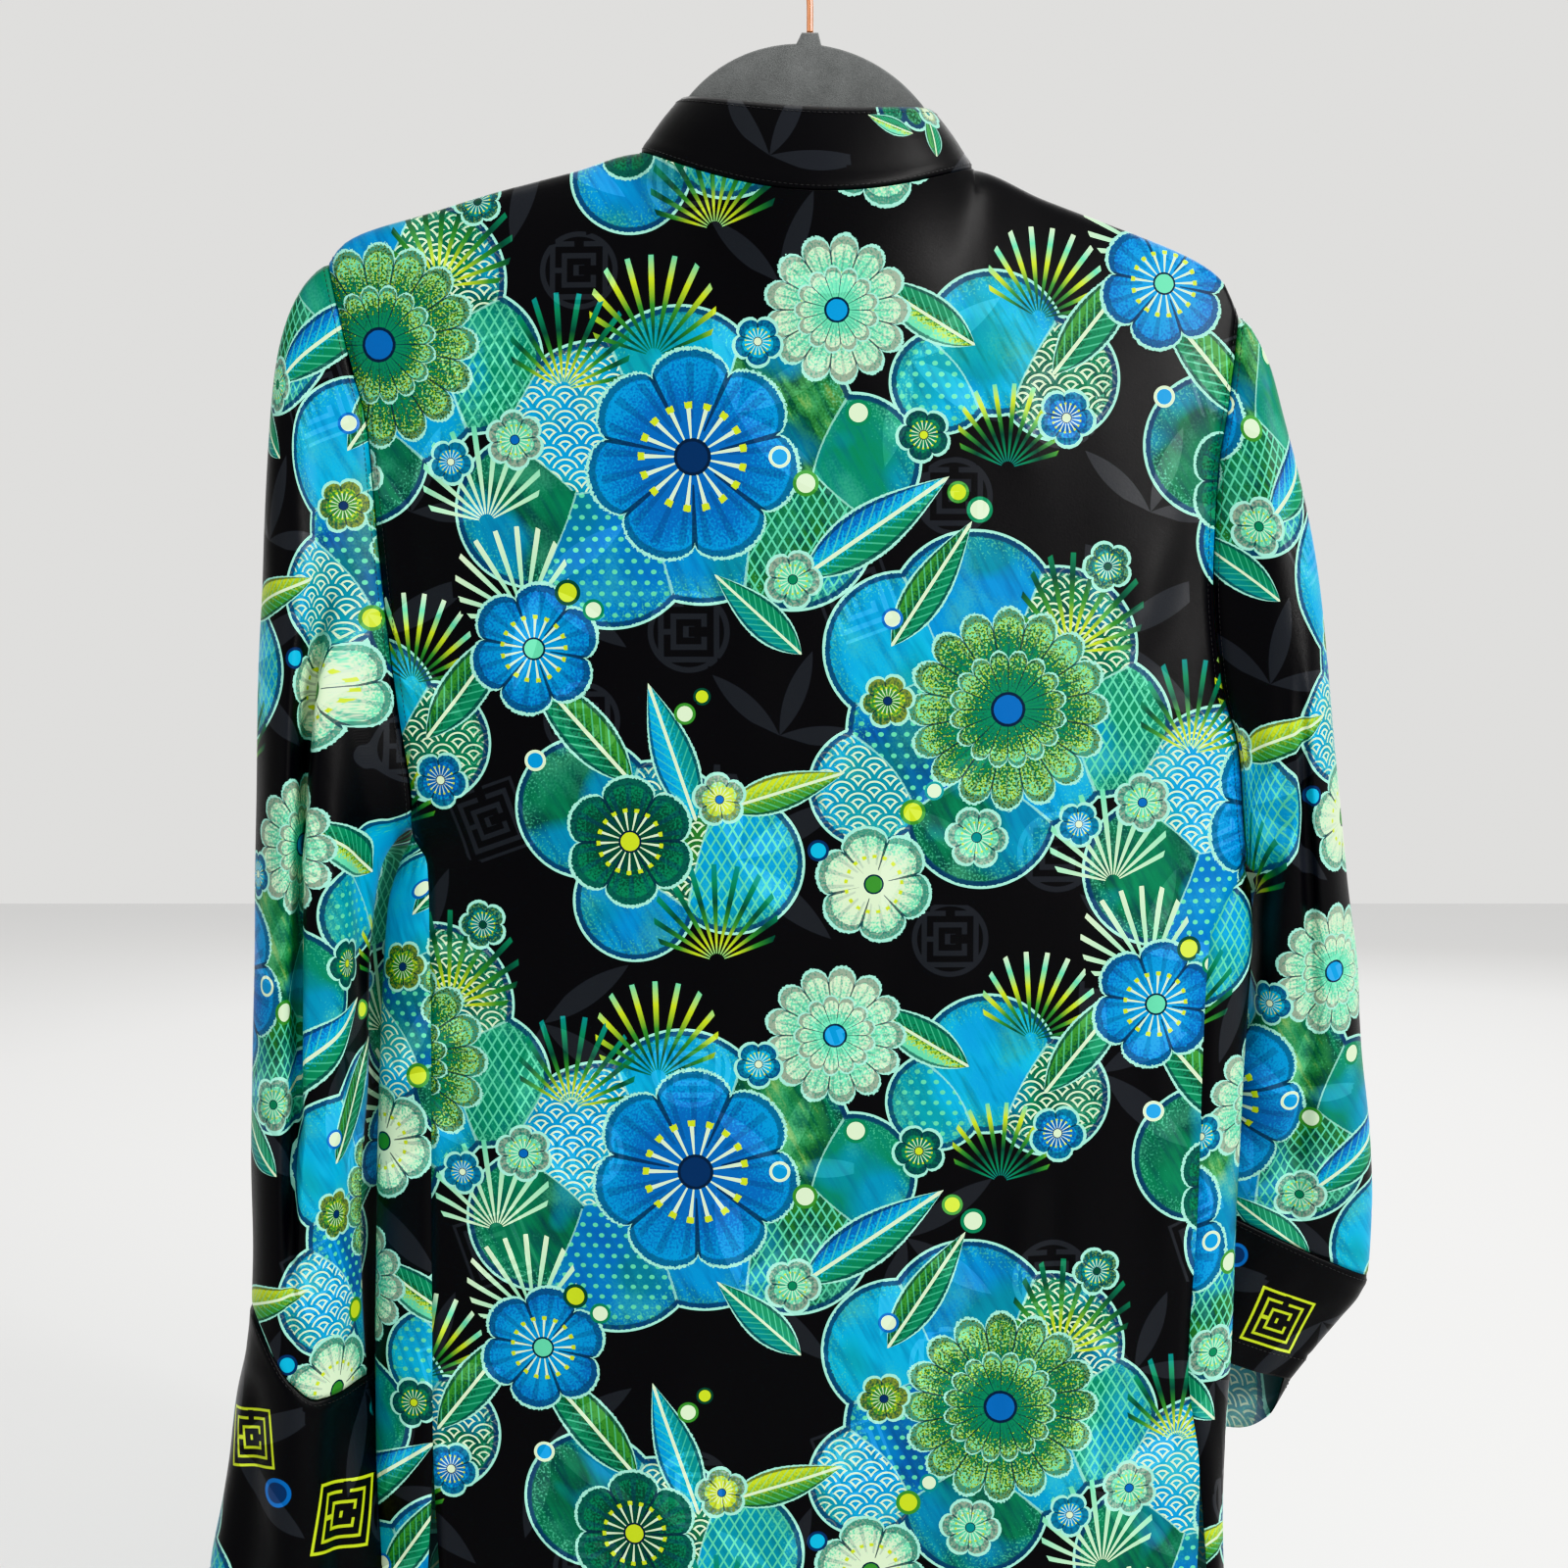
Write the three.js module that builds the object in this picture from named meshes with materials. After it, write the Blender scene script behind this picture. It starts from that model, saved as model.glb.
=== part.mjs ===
// Tunic top on a slim hanger, in millimetres. +Z is up. -Y is the side shown, the wearer's back.
// The origin is the inside top of the hook, where a rail or wall peg carries the whole part.
// "Left" is -X, which is also the wearer's left.

import * as THREE from "three";

// Cloth
const WALL = 1.2;
const COLLAR_WALL = 1.6;
const SEAM_GAP = 0.35;
const HALF_GAP = 0.15;

// Body panels. A level runs from 0 at the shoulder line to 1 at the hem.
const UNDERARM = 0.38;
const VENT_TOP = 0.79;
const VENT_OPEN = 3;
const HEM_Z = -881;
const HEM_TILT = 0.005;
const SECTION_POWER = 2.6;
const RIDGE_RADIUS = 5;
const RIDGE_FALL = 35;
const NECK_FALL = 40;
const FRONT_OVERLAP = 13;
const OVERLAP_RISE = 30;
const SECTION_STEPS = 120;
const SECTION_TURN = 150;
const OUTSIDE = { wide: 400, deep: 30, up: 2 };

// Half widths from the middle to the seam and to the side edge, and half depths to back and front.
const LEVELS = [
  { level: 0.0, seamLeft: 224, sideLeft: 236, seamRight: 200, sideRight: 211, back: 26, front: 24 },
  { level: 0.065, seamLeft: 213.5, sideLeft: 227, seamRight: 194.5, sideRight: 207.5, back: 27, front: 25 },
  { level: 0.11, seamLeft: 205.5, sideLeft: 221, seamRight: 190, sideRight: 204, back: 28, front: 27 },
  { level: 0.18, seamLeft: 201.5, sideLeft: 217, seamRight: 188.5, sideRight: 202.5, back: 29, front: 28 },
  { level: 0.25, seamLeft: 197, sideLeft: 212, seamRight: 193, sideRight: 207.5, back: 30, front: 29 },
  { level: 0.3, seamLeft: 193, sideLeft: 208, seamRight: 202, sideRight: 213.5, back: 30, front: 29 },
  { level: 0.36, seamLeft: 188, sideLeft: 199, seamRight: 206.5, sideRight: 212, back: 29, front: 28 },
  { level: 0.38, seamLeft: 190, sideLeft: 190, seamRight: 209, sideRight: 209, back: 29, front: 28 },
  { level: 0.4, seamLeft: 181, sideLeft: 196, seamRight: 200, sideRight: 212, back: 29, front: 28 },
  { level: 0.43, seamLeft: 180, sideLeft: 202.5, seamRight: 190, sideRight: 213, back: 29, front: 27 },
  { level: 0.5, seamLeft: 180, sideLeft: 206.5, seamRight: 188, sideRight: 211, back: 28, front: 26 },
  { level: 0.62, seamLeft: 181, sideLeft: 209.5, seamRight: 187, sideRight: 208.5, back: 28, front: 25 },
  { level: 0.74, seamLeft: 182, sideLeft: 212, seamRight: 184, sideRight: 206, back: 27, front: 25 },
  { level: 0.82, seamLeft: 182.5, sideLeft: 213, seamRight: 191, sideRight: 204.5, back: 28, front: 26 },
  { level: 0.9, seamLeft: 183, sideLeft: 214, seamRight: 193, sideRight: 206, back: 30, front: 28 },
  { level: 1.0, seamLeft: 184, sideLeft: 216, seamRight: 194, sideRight: 208, back: 33, front: 31 },
];

// Levels of the grid rows. The sleeve shares those of the armhole.
const RIDGE_ROWS = [0, 0.002, 0.006, 0.014];
const ARMHOLE_ROWS = [0.03, 0.065, 0.11, 0.155, 0.2, 0.25, 0.3, 0.335, 0.36];
const BODY_ROWS = [0.38, 0.4, 0.43, 0.48, 0.54, 0.6, 0.66, 0.72, 0.79, 0.85, 0.9, 0.95, 1];
const PANEL_ROWS = [...RIDGE_ROWS, ...ARMHOLE_ROWS, ...BODY_ROWS];

// The shoulder line, which hangs 3 degrees lower on the right.
const SHOULDER = [
  { x: -224, z: -179 },
  { x: -218, z: -171 },
  { x: -208, z: -165.5 },
  { x: -179, z: -157 },
  { x: -146, z: -147 },
  { x: -109, z: -137.5 },
  { x: -79, z: -129.5 },
  { x: 76, z: -137 },
  { x: 108, z: -150 },
  { x: 132, z: -159 },
  { x: 161, z: -170 },
  { x: 181, z: -179 },
  { x: 193, z: -188 },
  { x: 200, z: -203 },
];

// Neck seam and collar: a loop around the neck, 0 at the middle of the back.
const NECK_X = -1.5;
const NECK_TILT = -0.0484;
const NECK = { halfWidth: 77.5, back: 45, front: 38, sideZ: -133.2, backZ: -153, frontZ: -200 };
const COLLAR_TOP = { halfWidth: 58.5, back: 37, front: 31, sideZ: -107.5, backZ: -114.5, frontZ: -166 };
const NECK_DIP = 1.8;
const COLLAR_ROWS = [0, 0.34, 0.68, 1];
const COLLAR_END = 175;
const COLLAR_ROUND = 12;
const COLLAR_END_HEIGHT = 0.55;

// Columns of the panels: shoulder places by x, neck places by the angle from the middle.
const SHOULDER_LEFT = [-224, -216, -205, -178, -146, -112, -79];
const SHOULDER_RIGHT = [76, 105, 134, 160, 184, 194, 200];
const NECK_ANGLES = [76, 62, 47, 31, 15];
const FRONT_ANGLES = [10, 5];
const OVERLAP_ANGLES = [-5, -8.6];

// Large soft folds low on the panels: place across, level where each starts, half width, depth.
// They fade out near the side edges, where the panel comes within the clearance of its middle.
const BACK_FOLDS = [
  { x: 158, from: 0.5, halfWidth: 17, depth: 5 },
  { x: 118, from: 0.62, halfWidth: 20, depth: -2.5 },
  { x: 22, from: 0.66, halfWidth: 24, depth: 3 },
  { x: -62, from: 0.6, halfWidth: 26, depth: -2.5 },
  { x: -136, from: 0.55, halfWidth: 22, depth: 3.5 },
];
const FOLD_CLEARANCE = { none: 4, whole: 18 };
const FRONT_FOLDS = [
  { x: 150, from: 0.35, halfWidth: 20, depth: 4 },
  { x: 88, from: 0.5, halfWidth: 22, depth: -3 },
  { x: -92, from: 0.45, halfWidth: 22, depth: 4 },
  { x: -146, from: 0.3, halfWidth: 20, depth: -3 },
];

// Sleeves. Each ring runs from its outer point to its inner point and is as deep as given.
// follow says how far a ring still has the armhole's shape, groove and pipe are the long fold.
const SLEEVE_LEFT = [
  { outX: -224.35, outZ: -178.6, inX: -190.35, inZ: -444.6, midY: 0, depth: 18, follow: 1, groove: 0, pipe: 0 },
  { outX: -236, outZ: -188, inX: -195, inZ: -445, midY: 0, depth: 22, follow: 0.8, groove: 0, pipe: 0 },
  { outX: -245, outZ: -205, inX: -199, inZ: -447, midY: 0, depth: 26, follow: 0.55, groove: 0, pipe: 0 },
  { outX: -251, outZ: -232, inX: -202.5, inZ: -451, midY: 0, depth: 30, follow: 0.32, groove: 1, pipe: 0 },
  { outX: -254.5, outZ: -268, inX: -205.5, inZ: -456, midY: 0, depth: 33, follow: 0.14, groove: 4, pipe: 1 },
  { outX: -257, outZ: -312, inX: -208.5, inZ: -463, midY: 0, depth: 35, follow: 0, groove: 7, pipe: 2 },
  { outX: -259.5, outZ: -358, inX: -211, inZ: -474, midY: 0, depth: 36, follow: 0, groove: 9, pipe: 3 },
  { outX: -261, outZ: -404, inX: -213, inZ: -489, midY: 0, depth: 36, follow: 0, groove: 10, pipe: 3 },
  { outX: -262.5, outZ: -450, inX: -215, inZ: -509, midY: 0, depth: 36, follow: 0, groove: 10, pipe: 3 },
  { outX: -264.5, outZ: -498, inX: -216, inZ: -536, midY: 0, depth: 36, follow: 0, groove: 9, pipe: 2 },
  { outX: -266.5, outZ: -548, inX: -217, inZ: -570, midY: 0, depth: 36, follow: 0, groove: 8, pipe: 2 },
  { outX: -268, outZ: -598, inX: -221, inZ: -612, midY: 0, depth: 36, follow: 0, groove: 5, pipe: 1 },
  { outX: -269, outZ: -642, inX: -222, inZ: -664, midY: 0, depth: 36, follow: 0, groove: 2, pipe: 0 },
  { outX: -271, outZ: -676, inX: -221, inZ: -716, midY: 0, depth: 36, follow: 0, groove: 0, pipe: 0 },
];
const SLEEVE_RIGHT = [
  { outX: 200.35, outZ: -202.6, inX: 209.35, inZ: -460.6, midY: 0, depth: 18, follow: 1, groove: 0, pipe: 0 },
  { outX: 207, outZ: -209, inX: 212, inZ: -461.5, midY: 0, depth: 22, follow: 0.8, groove: 0, pipe: 0 },
  { outX: 214, outZ: -222, inX: 214.5, inZ: -463, midY: 0, depth: 26, follow: 0.55, groove: 0, pipe: 0 },
  { outX: 222, outZ: -248, inX: 217, inZ: -465, midY: 1, depth: 30, follow: 0.32, groove: 0, pipe: 0 },
  { outX: 231, outZ: -282, inX: 219, inZ: -468, midY: 2, depth: 32, follow: 0.14, groove: 0, pipe: 0 },
  { outX: 239, outZ: -326, inX: 219, inZ: -472, midY: 4, depth: 34, follow: 0, groove: 2, pipe: 0 },
  { outX: 245.5, outZ: -378, inX: 218, inZ: -479, midY: 7, depth: 35, follow: 0, groove: 3, pipe: 1 },
  { outX: 252, outZ: -424, inX: 217, inZ: -490, midY: 10, depth: 35, follow: 0, groove: 3, pipe: 1 },
  { outX: 259, outZ: -468, inX: 216, inZ: -505, midY: 14, depth: 34, follow: 0, groove: 3, pipe: 1 },
  { outX: 267.5, outZ: -514, inX: 213.5, inZ: -528, midY: 19, depth: 32, follow: 0, groove: 3, pipe: 1 },
  { outX: 274, outZ: -560, inX: 209, inZ: -557, midY: 26, depth: 29, follow: 0, groove: 3, pipe: 1 },
  { outX: 281, outZ: -604, inX: 202, inZ: -586, midY: 34, depth: 25, follow: 0, groove: 3, pipe: 2 },
  { outX: 285, outZ: -642, inX: 197, inZ: -611, midY: 41, depth: 20, follow: 0, groove: 2, pipe: 1 },
  { outX: 286, outZ: -680, inX: 192, inZ: -635.5, midY: 46, depth: 17, follow: 0, groove: 0, pipe: 0 },
];
const RING_SIDES = 20;
const RING_POWER = 0.88;
const GROOVE_ANGLE = 75;
const GROOVE_SPREAD = 17;
const PIPE_ANGLE = 116;
const PIPE_SPREAD = 22;
const ARMHOLE_LIFT_FROM = 0.3;

// Cuffs, in the same columns, from the cuff seam to the open end. drop is how much lower the front hangs.
const CUFF_LEFT = [
  { outX: -271, outZ: -676, inX: -221, inZ: -716, midY: 0, depth: 36, drop: 0, flute: 0 },
  { outX: -275, outZ: -708, inX: -219.5, inZ: -738, midY: 0, depth: 36, drop: 4, flute: 0.8 },
  { outX: -280, outZ: -740, inX: -217.5, inZ: -762, midY: 0, depth: 37, drop: 8, flute: 1.6 },
  { outX: -285, outZ: -770, inX: -216.5, inZ: -786, midY: 0, depth: 38, drop: 12, flute: 2.4 },
  { outX: -289.5, outZ: -798, inX: -216, inZ: -806, midY: 0, depth: 39, drop: 17, flute: 3 },
  { outX: -293, outZ: -822, inX: -215.5, inZ: -824, midY: 0, depth: 40, drop: 22, flute: 3.5 },
];
const CUFF_RIGHT = [
  { outX: 286, outZ: -680, inX: 192, inZ: -635.5, midY: 46, depth: 17, drop: 0, flute: 0 },
  { outX: 281.5, outZ: -691, inX: 183, inZ: -647, midY: 47, depth: 17.5, drop: 4, flute: 0.3 },
  { outX: 273, outZ: -702, inX: 173, inZ: -659, midY: 47.5, depth: 18, drop: 10, flute: 0.7 },
  { outX: 264.5, outZ: -713, inX: 162, inZ: -670, midY: 48, depth: 18.5, drop: 17, flute: 1 },
  { outX: 256, outZ: -724, inX: 151, inZ: -681, midY: 48.5, depth: 19, drop: 25, flute: 1.3 },
  { outX: 248, outZ: -735, inX: 140, inZ: -691, midY: 49, depth: 19.5, drop: 33, flute: 1.6 },
];
const CUFF_SEAM_LEFT = { start: 30, end: 115, sleeveRings: 3, cuffRings: 4 };
const CUFF_FLUTES = { count: 5, turn: 40 };

// Buttons down the front edge
const BUTTON = { radius: 5.5, thick: 2.6, dish: 0.7, chamfer: 0.6, rim: 1.1, sides: 12 };
const BUTTON_ROW = { count: 7, first: 0.045, last: 0.72, clear: 0.45, step: 0.01 };

// Hanger and hook
const HANGER = { thick: 5, bevel: 1.2, under: 2.2, leftTip: -213, rightTip: 191 };
const ARM = { middle: 17, tip: 11, endFace: 7.7, archZ: -139.6 };
const DOME = { apexZ: -80, radius: 70, edge: 55.3 };
const NUB = { halfWidth: 5.3, topHalfWidth: 3.8, topZ: -75 };
const HOOK = { radius: 1.55, inner: 17, sides: 8, steps: 44, startAngle: -25, endAngle: 205, stepAngle: 23 };

// The wire's stem, which swings to the side of the peg.
const STEM = [
  { x: 0, z: -63.45 },
  { x: 0, z: -54 },
  { x: 4.2, z: -45 },
  { x: 12, z: -35 },
];

// The hanger's upper edge between the dome and the neck seam, by the distance from the neck's middle.
const HANGER_NECK = [
  { across: 55.3, z: -107.1 },
  { across: 62, z: -117 },
  { across: 68, z: -125.6 },
  { across: 73, z: -132.8 },
  { across: 77.5, z: -136.3 },
];

// Places x of the points on the hanger's edge.
const DOME_LEFT = [-82, -79, -74.5, -69.5, -63.5, -56.5, -48, -36, -24, -12];
const DOME_RIGHT = [9, 21, 33, 45, 53.5, 60.5, 66.5, 71.5, 76, 79];
const UNDER_EDGE = [180, 150, 115, 80, 40, 0, -40, -80, -115, -150, -195];

const degrees = THREE.MathUtils.degToRad;
const ease = (t) => THREE.MathUtils.smoothstep(t, 0, 1);
const mix = THREE.MathUtils.lerp;
const bump = (offset, spread) => Math.exp(-((offset / spread) ** 2));

// The value of a column at a place between the rows: a smooth curve that never overshoots them.
function follow(rows, key, column, place) {
  const last = rows.length - 1;
  if (place <= rows[0][key]) return rows[0][column];
  if (place >= rows[last][key]) return rows[last][column];
  let i = 0;
  while (place > rows[i + 1][key]) i += 1;
  const slope = (k) => (rows[k + 1][column] - rows[k][column]) / (rows[k + 1][key] - rows[k][key]);
  const tangent = (k) => {
    if (k === 0) return slope(0);
    if (k === last) return slope(last - 1);
    const product = slope(k - 1) * slope(k);
    return product <= 0 ? 0 : (2 * product) / (slope(k - 1) + slope(k));
  };
  const span = rows[i + 1][key] - rows[i][key];
  const t = (place - rows[i][key]) / span;
  const start = rows[i][column];
  const rise = rows[i + 1][column] - start;
  const bend = tangent(i) * span;
  const settle = tangent(i + 1) * span;
  return start + t * (bend + t * (3 * rise - 2 * bend - settle + t * (bend + settle - 2 * rise)));
}

// A closed mesh from an outer grid and its inner twin. A tube's columns join up, a sheet has side rims.
function wallMesh(outer, inner, tube) {
  const rows = outer.length;
  const columns = outer[0].length;
  const positions = [...outer.flat(), ...inner.flat()].flatMap((p) => [p.x, p.y, p.z]);
  const faces = [];
  const at = (i, j, layer) => layer * rows * columns + i * columns + (j % columns);
  const quad = (a, b, c, d) => faces.push(a, b, c, a, c, d);
  const spans = tube ? columns : columns - 1;
  for (let i = 0; i < rows - 1; i += 1) {
    for (let j = 0; j < spans; j += 1) {
      quad(at(i, j, 0), at(i + 1, j, 0), at(i + 1, j + 1, 0), at(i, j + 1, 0));
      quad(at(i, j, 1), at(i, j + 1, 1), at(i + 1, j + 1, 1), at(i + 1, j, 1));
    }
  }
  for (let j = 0; j < spans; j += 1) {
    quad(at(0, j, 0), at(0, j + 1, 0), at(0, j + 1, 1), at(0, j, 1));
    quad(at(rows - 1, j, 0), at(rows - 1, j, 1), at(rows - 1, j + 1, 1), at(rows - 1, j + 1, 0));
  }
  if (!tube) {
    for (let i = 0; i < rows - 1; i += 1) {
      quad(at(i, 0, 0), at(i, 0, 1), at(i + 1, 0, 1), at(i + 1, 0, 0));
      quad(at(i, spans, 0), at(i + 1, spans, 0), at(i + 1, spans, 1), at(i, spans, 1));
    }
  }
  return closedGeometry(positions, faces);
}

// Turns the faces outwards where the volume comes out negative.
function closedGeometry(positions, faces) {
  const point = (k) => new THREE.Vector3(positions[3 * k], positions[3 * k + 1], positions[3 * k + 2]);
  let volume = 0;
  for (let k = 0; k < faces.length; k += 3) {
    volume += point(faces[k]).dot(point(faces[k + 1]).cross(point(faces[k + 2])));
  }
  if (volume < 0) {
    for (let k = 0; k < faces.length; k += 3) {
      [faces[k + 1], faces[k + 2]] = [faces[k + 2], faces[k + 1]];
    }
  }
  const geometry = new THREE.BufferGeometry();
  geometry.setAttribute("position", new THREE.Float32BufferAttribute(positions, 3));
  geometry.setIndex(faces);
  geometry.computeVertexNormals();
  return geometry;
}

// The outward normal of a grid at each point. outward gives a direction that is roughly outside.
// rims names rows whose edge faces stand square to a given direction, so that seams meet flat.
function gridNormals(grid, tube, outward, rims) {
  const rows = grid.length;
  const columns = grid[0].length;
  return grid.map((line, i) =>
    line.map((p, j) => {
      const before = tube ? (j + columns - 1) % columns : Math.max(j - 1, 0);
      const after = tube ? (j + 1) % columns : Math.min(j + 1, columns - 1);
      const across = line[after].clone().sub(line[before]);
      const down = grid[Math.min(i + 1, rows - 1)][j].clone().sub(grid[Math.max(i - 1, 0)][j]);
      const square = rims(i, j);
      const normal = across.cross(square ?? down).normalize();
      return normal.dot(outward(p, i, j)) < 0 ? normal.negate() : normal;
    }),
  );
}

function thicken(grid, wall, tube, outward, rims = () => null) {
  const normals = gridNormals(grid, tube, outward, rims);
  const inner = grid.map((line, i) => line.map((p, j) => p.clone().addScaledVector(normals[i][j], -wall)));
  return wallMesh(grid, inner, tube);
}

// Body section
// The outline of the body at a level, as lengths along the cloth from the middle of one face.
const sections = new Map();

function section(side, face, level) {
  const name = `${side} ${face} ${level}`;
  if (sections.has(name)) return sections.get(name);
  const width = follow(LEVELS, "level", side < 0 ? "sideLeft" : "sideRight", level);
  const depths = { 1: follow(LEVELS, "level", "front", level), "-1": follow(LEVELS, "level", "back", level) };
  const points = [];
  let length = 0;
  for (let k = 0; k <= SECTION_STEPS; k += 1) {
    const turn = degrees(90 - (SECTION_TURN * k) / SECTION_STEPS);
    const reach = Math.abs(Math.cos(turn)) ** (2 / SECTION_POWER);
    const height = Math.abs(Math.sin(turn)) ** (2 / SECTION_POWER);
    const half = turn >= 0 ? face : -face;
    const next = { turn, x: side * width * reach, y: half * depths[half] * height, length };
    if (k > 0) {
      const previous = points[k - 1];
      length += Math.hypot(next.x - previous.x, next.y - previous.y);
      next.length = length;
    }
    points.push(next);
  }
  const outline = { width, points };
  sections.set(name, outline);
  return outline;
}

function sectionPoint(side, face, level, length) {
  const way = length < 0 ? -side : side;
  const { points } = section(way, face, level);
  const reach = Math.abs(length);
  let k = 1;
  while (k < points.length - 1 && points[k].length < reach) k += 1;
  const t = (reach - points[k - 1].length) / (points[k].length - points[k - 1].length);
  return { x: mix(points[k - 1].x, points[k].x, t), y: mix(points[k - 1].y, points[k].y, t) };
}

// The length along the cloth from the middle of a face to a place x, past the side edge if wrapped.
function sectionLength(side, face, level, x, wrapped) {
  const { width, points } = section(side, face, level);
  const ratio = Math.min(1, Math.abs(x) / width);
  const turn = Math.acos(ratio ** (SECTION_POWER / 2)) * (wrapped ? -1 : 1);
  let k = 1;
  while (k < points.length - 1 && points[k].turn > turn) k += 1;
  const t = (turn - points[k - 1].turn) / (points[k].turn - points[k - 1].turn);
  return mix(points[k - 1].length, points[k].length, t);
}

function ventAt(level) {
  return VENT_OPEN * ease((level - VENT_TOP) / (1 - VENT_TOP));
}

// The length from the middle of a face to the panel's edge: the armhole, then the side seam.
function edgeLength(side, face, level) {
  const seam = follow(LEVELS, "level", side < 0 ? "seamLeft" : "seamRight", level);
  const wrapped = face > 0 && level > UNDERARM;
  const gap = face > 0 ? SEAM_GAP : 0;
  return sectionLength(side, face, level, seam, wrapped) - gap - ventAt(level);
}

// Neck
function neckPoint(loop, angle, raise = 0) {
  const turn = degrees(angle);
  const back = Math.cos(turn) > 0;
  const x = NECK_X + loop.halfWidth * Math.sin(turn);
  const y = -(back ? loop.back : loop.front) * Math.cos(turn);
  const share = back ? Math.cos(turn) ** 2 : Math.abs(Math.cos(turn)) ** NECK_DIP;
  const z = mix(loop.sideZ, back ? loop.backZ : loop.frontZ, share);
  return new THREE.Vector3(x, y, z + NECK_TILT * (x - NECK_X) + raise);
}

// Panels
function shoulderColumn(x) {
  return { x, topZ: follow(SHOULDER, "x", "z", x), topY: 0, neck: false };
}

// fromMiddle is the angle from the middle of this face, and positive towards +X.
function neckColumn(face, fromMiddle) {
  const point = neckPoint(NECK, face < 0 ? fromMiddle : 180 - fromMiddle);
  return { x: point.x, topZ: point.z, topY: Math.abs(point.y), neck: true };
}

function foldAt(folds, x, level) {
  return folds.reduce((sum, fold) => {
    const grown = ease((level - fold.from) / (1 - fold.from));
    return sum + fold.depth * bump(x - fold.x, fold.halfWidth) * grown;
  }, 0);
}

// The height of a level in a column. Levels follow the shoulders at the top, and run straight
// across from the underarm down.
function levelZ(column, level) {
  const left = SHOULDER[0];
  const right = SHOULDER.at(-1);
  const tipZ = mix(left.z, right.z, (column.x - left.x) / (right.x - left.x));
  const hemZ = HEM_Z - HEM_TILT * column.x;
  return mix(tipZ, hemZ, level) + (column.topZ - tipZ) * (1 - ease(level / UNDERARM));
}

// A point of a panel. tuck sets the under layer of the front overlap back from the top layer.
function panelPoint(face, column, level, share, side, tuck) {
  const start = face > 0 ? -FRONT_OVERLAP : 0;
  const length = start + share * (edgeLength(side, face, level) - start);
  const place = sectionPoint(side, face, level, length);
  const z = levelZ(column, level);
  const drop = column.topZ - z;
  const depth = face * place.y;
  let y;
  if (column.neck) {
    y = column.topY + (depth - column.topY) * (1 - Math.exp(-drop / NECK_FALL));
  } else {
    const round = RIDGE_RADIUS * Math.sqrt(1 - (1 - Math.min(1, drop / RIDGE_RADIUS)) ** 2);
    y = round + (depth - RIDGE_RADIUS) * (1 - Math.exp(-drop / RIDGE_FALL));
  }
  const folds = face > 0 ? FRONT_FOLDS : BACK_FOLDS;
  const { none, whole } = FOLD_CLEARANCE;
  const inward = foldAt(folds, place.x, level) * ease((depth - none) / (whole - none));
  return new THREE.Vector3(place.x, face * (y + HALF_GAP - inward - tuck(length)), z);
}

// The share of the way from the middle, or the front edge, to the armhole at the shoulder line.
function columnShare(face, column, side) {
  const start = face > 0 ? -FRONT_OVERLAP : 0;
  const length = sectionLength(side, face, 0, column.x, false) * Math.sign(column.x * side || 1);
  const share = (length - start) / (edgeLength(side, face, 0) - start);
  return Math.min(share, 1);
}

function panelGrid(face, columns, sideOf, tuck = () => 0) {
  const shares = columns.map((column) => columnShare(face, column, sideOf(column)));
  return PANEL_ROWS.map((level) =>
    columns.map((column, j) => panelPoint(face, column, level, shares[j], sideOf(column), tuck)),
  );
}

// The shoulder edges and the underarm stand square to each other, the neck edge to the collar.
function panelRims(columns) {
  const alongY = new THREE.Vector3(0, 1, 0);
  const alongZ = new THREE.Vector3(0, 0, 1);
  const underarmRow = PANEL_ROWS.indexOf(UNDERARM);
  const tips = [SHOULDER_LEFT[0], SHOULDER_RIGHT.at(-1)];
  return (i, j) => {
    if (i === underarmRow && tips.includes(columns[j].x)) return alongY;
    if (i > 0) return null;
    return columns[j].neck ? alongZ : alongY;
  };
}

function backPanel() {
  const neck = NECK_ANGLES.map((angle) => neckColumn(-1, angle));
  const left = NECK_ANGLES.map((angle) => neckColumn(-1, -angle));
  const columns = [
    ...SHOULDER_LEFT.map(shoulderColumn),
    ...left,
    neckColumn(-1, 0),
    ...neck.reverse(),
    ...SHOULDER_RIGHT.map(shoulderColumn),
  ];
  const grid = panelGrid(-1, columns, (column) => (column.x < 0 ? -1 : 1));
  return thicken(grid, WALL, false, panelOutward, panelRims(columns));
}

// Roughly away from the body's middle, and upwards on the shoulder line.
function panelOutward(p, i) {
  return new THREE.Vector3(p.x / OUTSIDE.wide, p.y / OUTSIDE.deep, i === 0 ? OUTSIDE.up : 0);
}

function frontPanel(side) {
  const shoulder = side < 0 ? SHOULDER_LEFT : [...SHOULDER_RIGHT].reverse();
  const neckAngles = [...NECK_ANGLES, ...FRONT_ANGLES, ...OVERLAP_ANGLES];
  const neck = neckAngles.map((angle) => neckColumn(1, side * angle));
  const columns = [...shoulder.map(shoulderColumn), ...neck];
  const under = WALL + 2 * SEAM_GAP;
  const tuck = (length) => (side < 0 ? under * (1 - ease((length - FRONT_OVERLAP) / OVERLAP_RISE)) : 0);
  const grid = panelGrid(1, columns, () => side, tuck);
  return thicken(grid, WALL, false, panelOutward, panelRims(columns));
}

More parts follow.
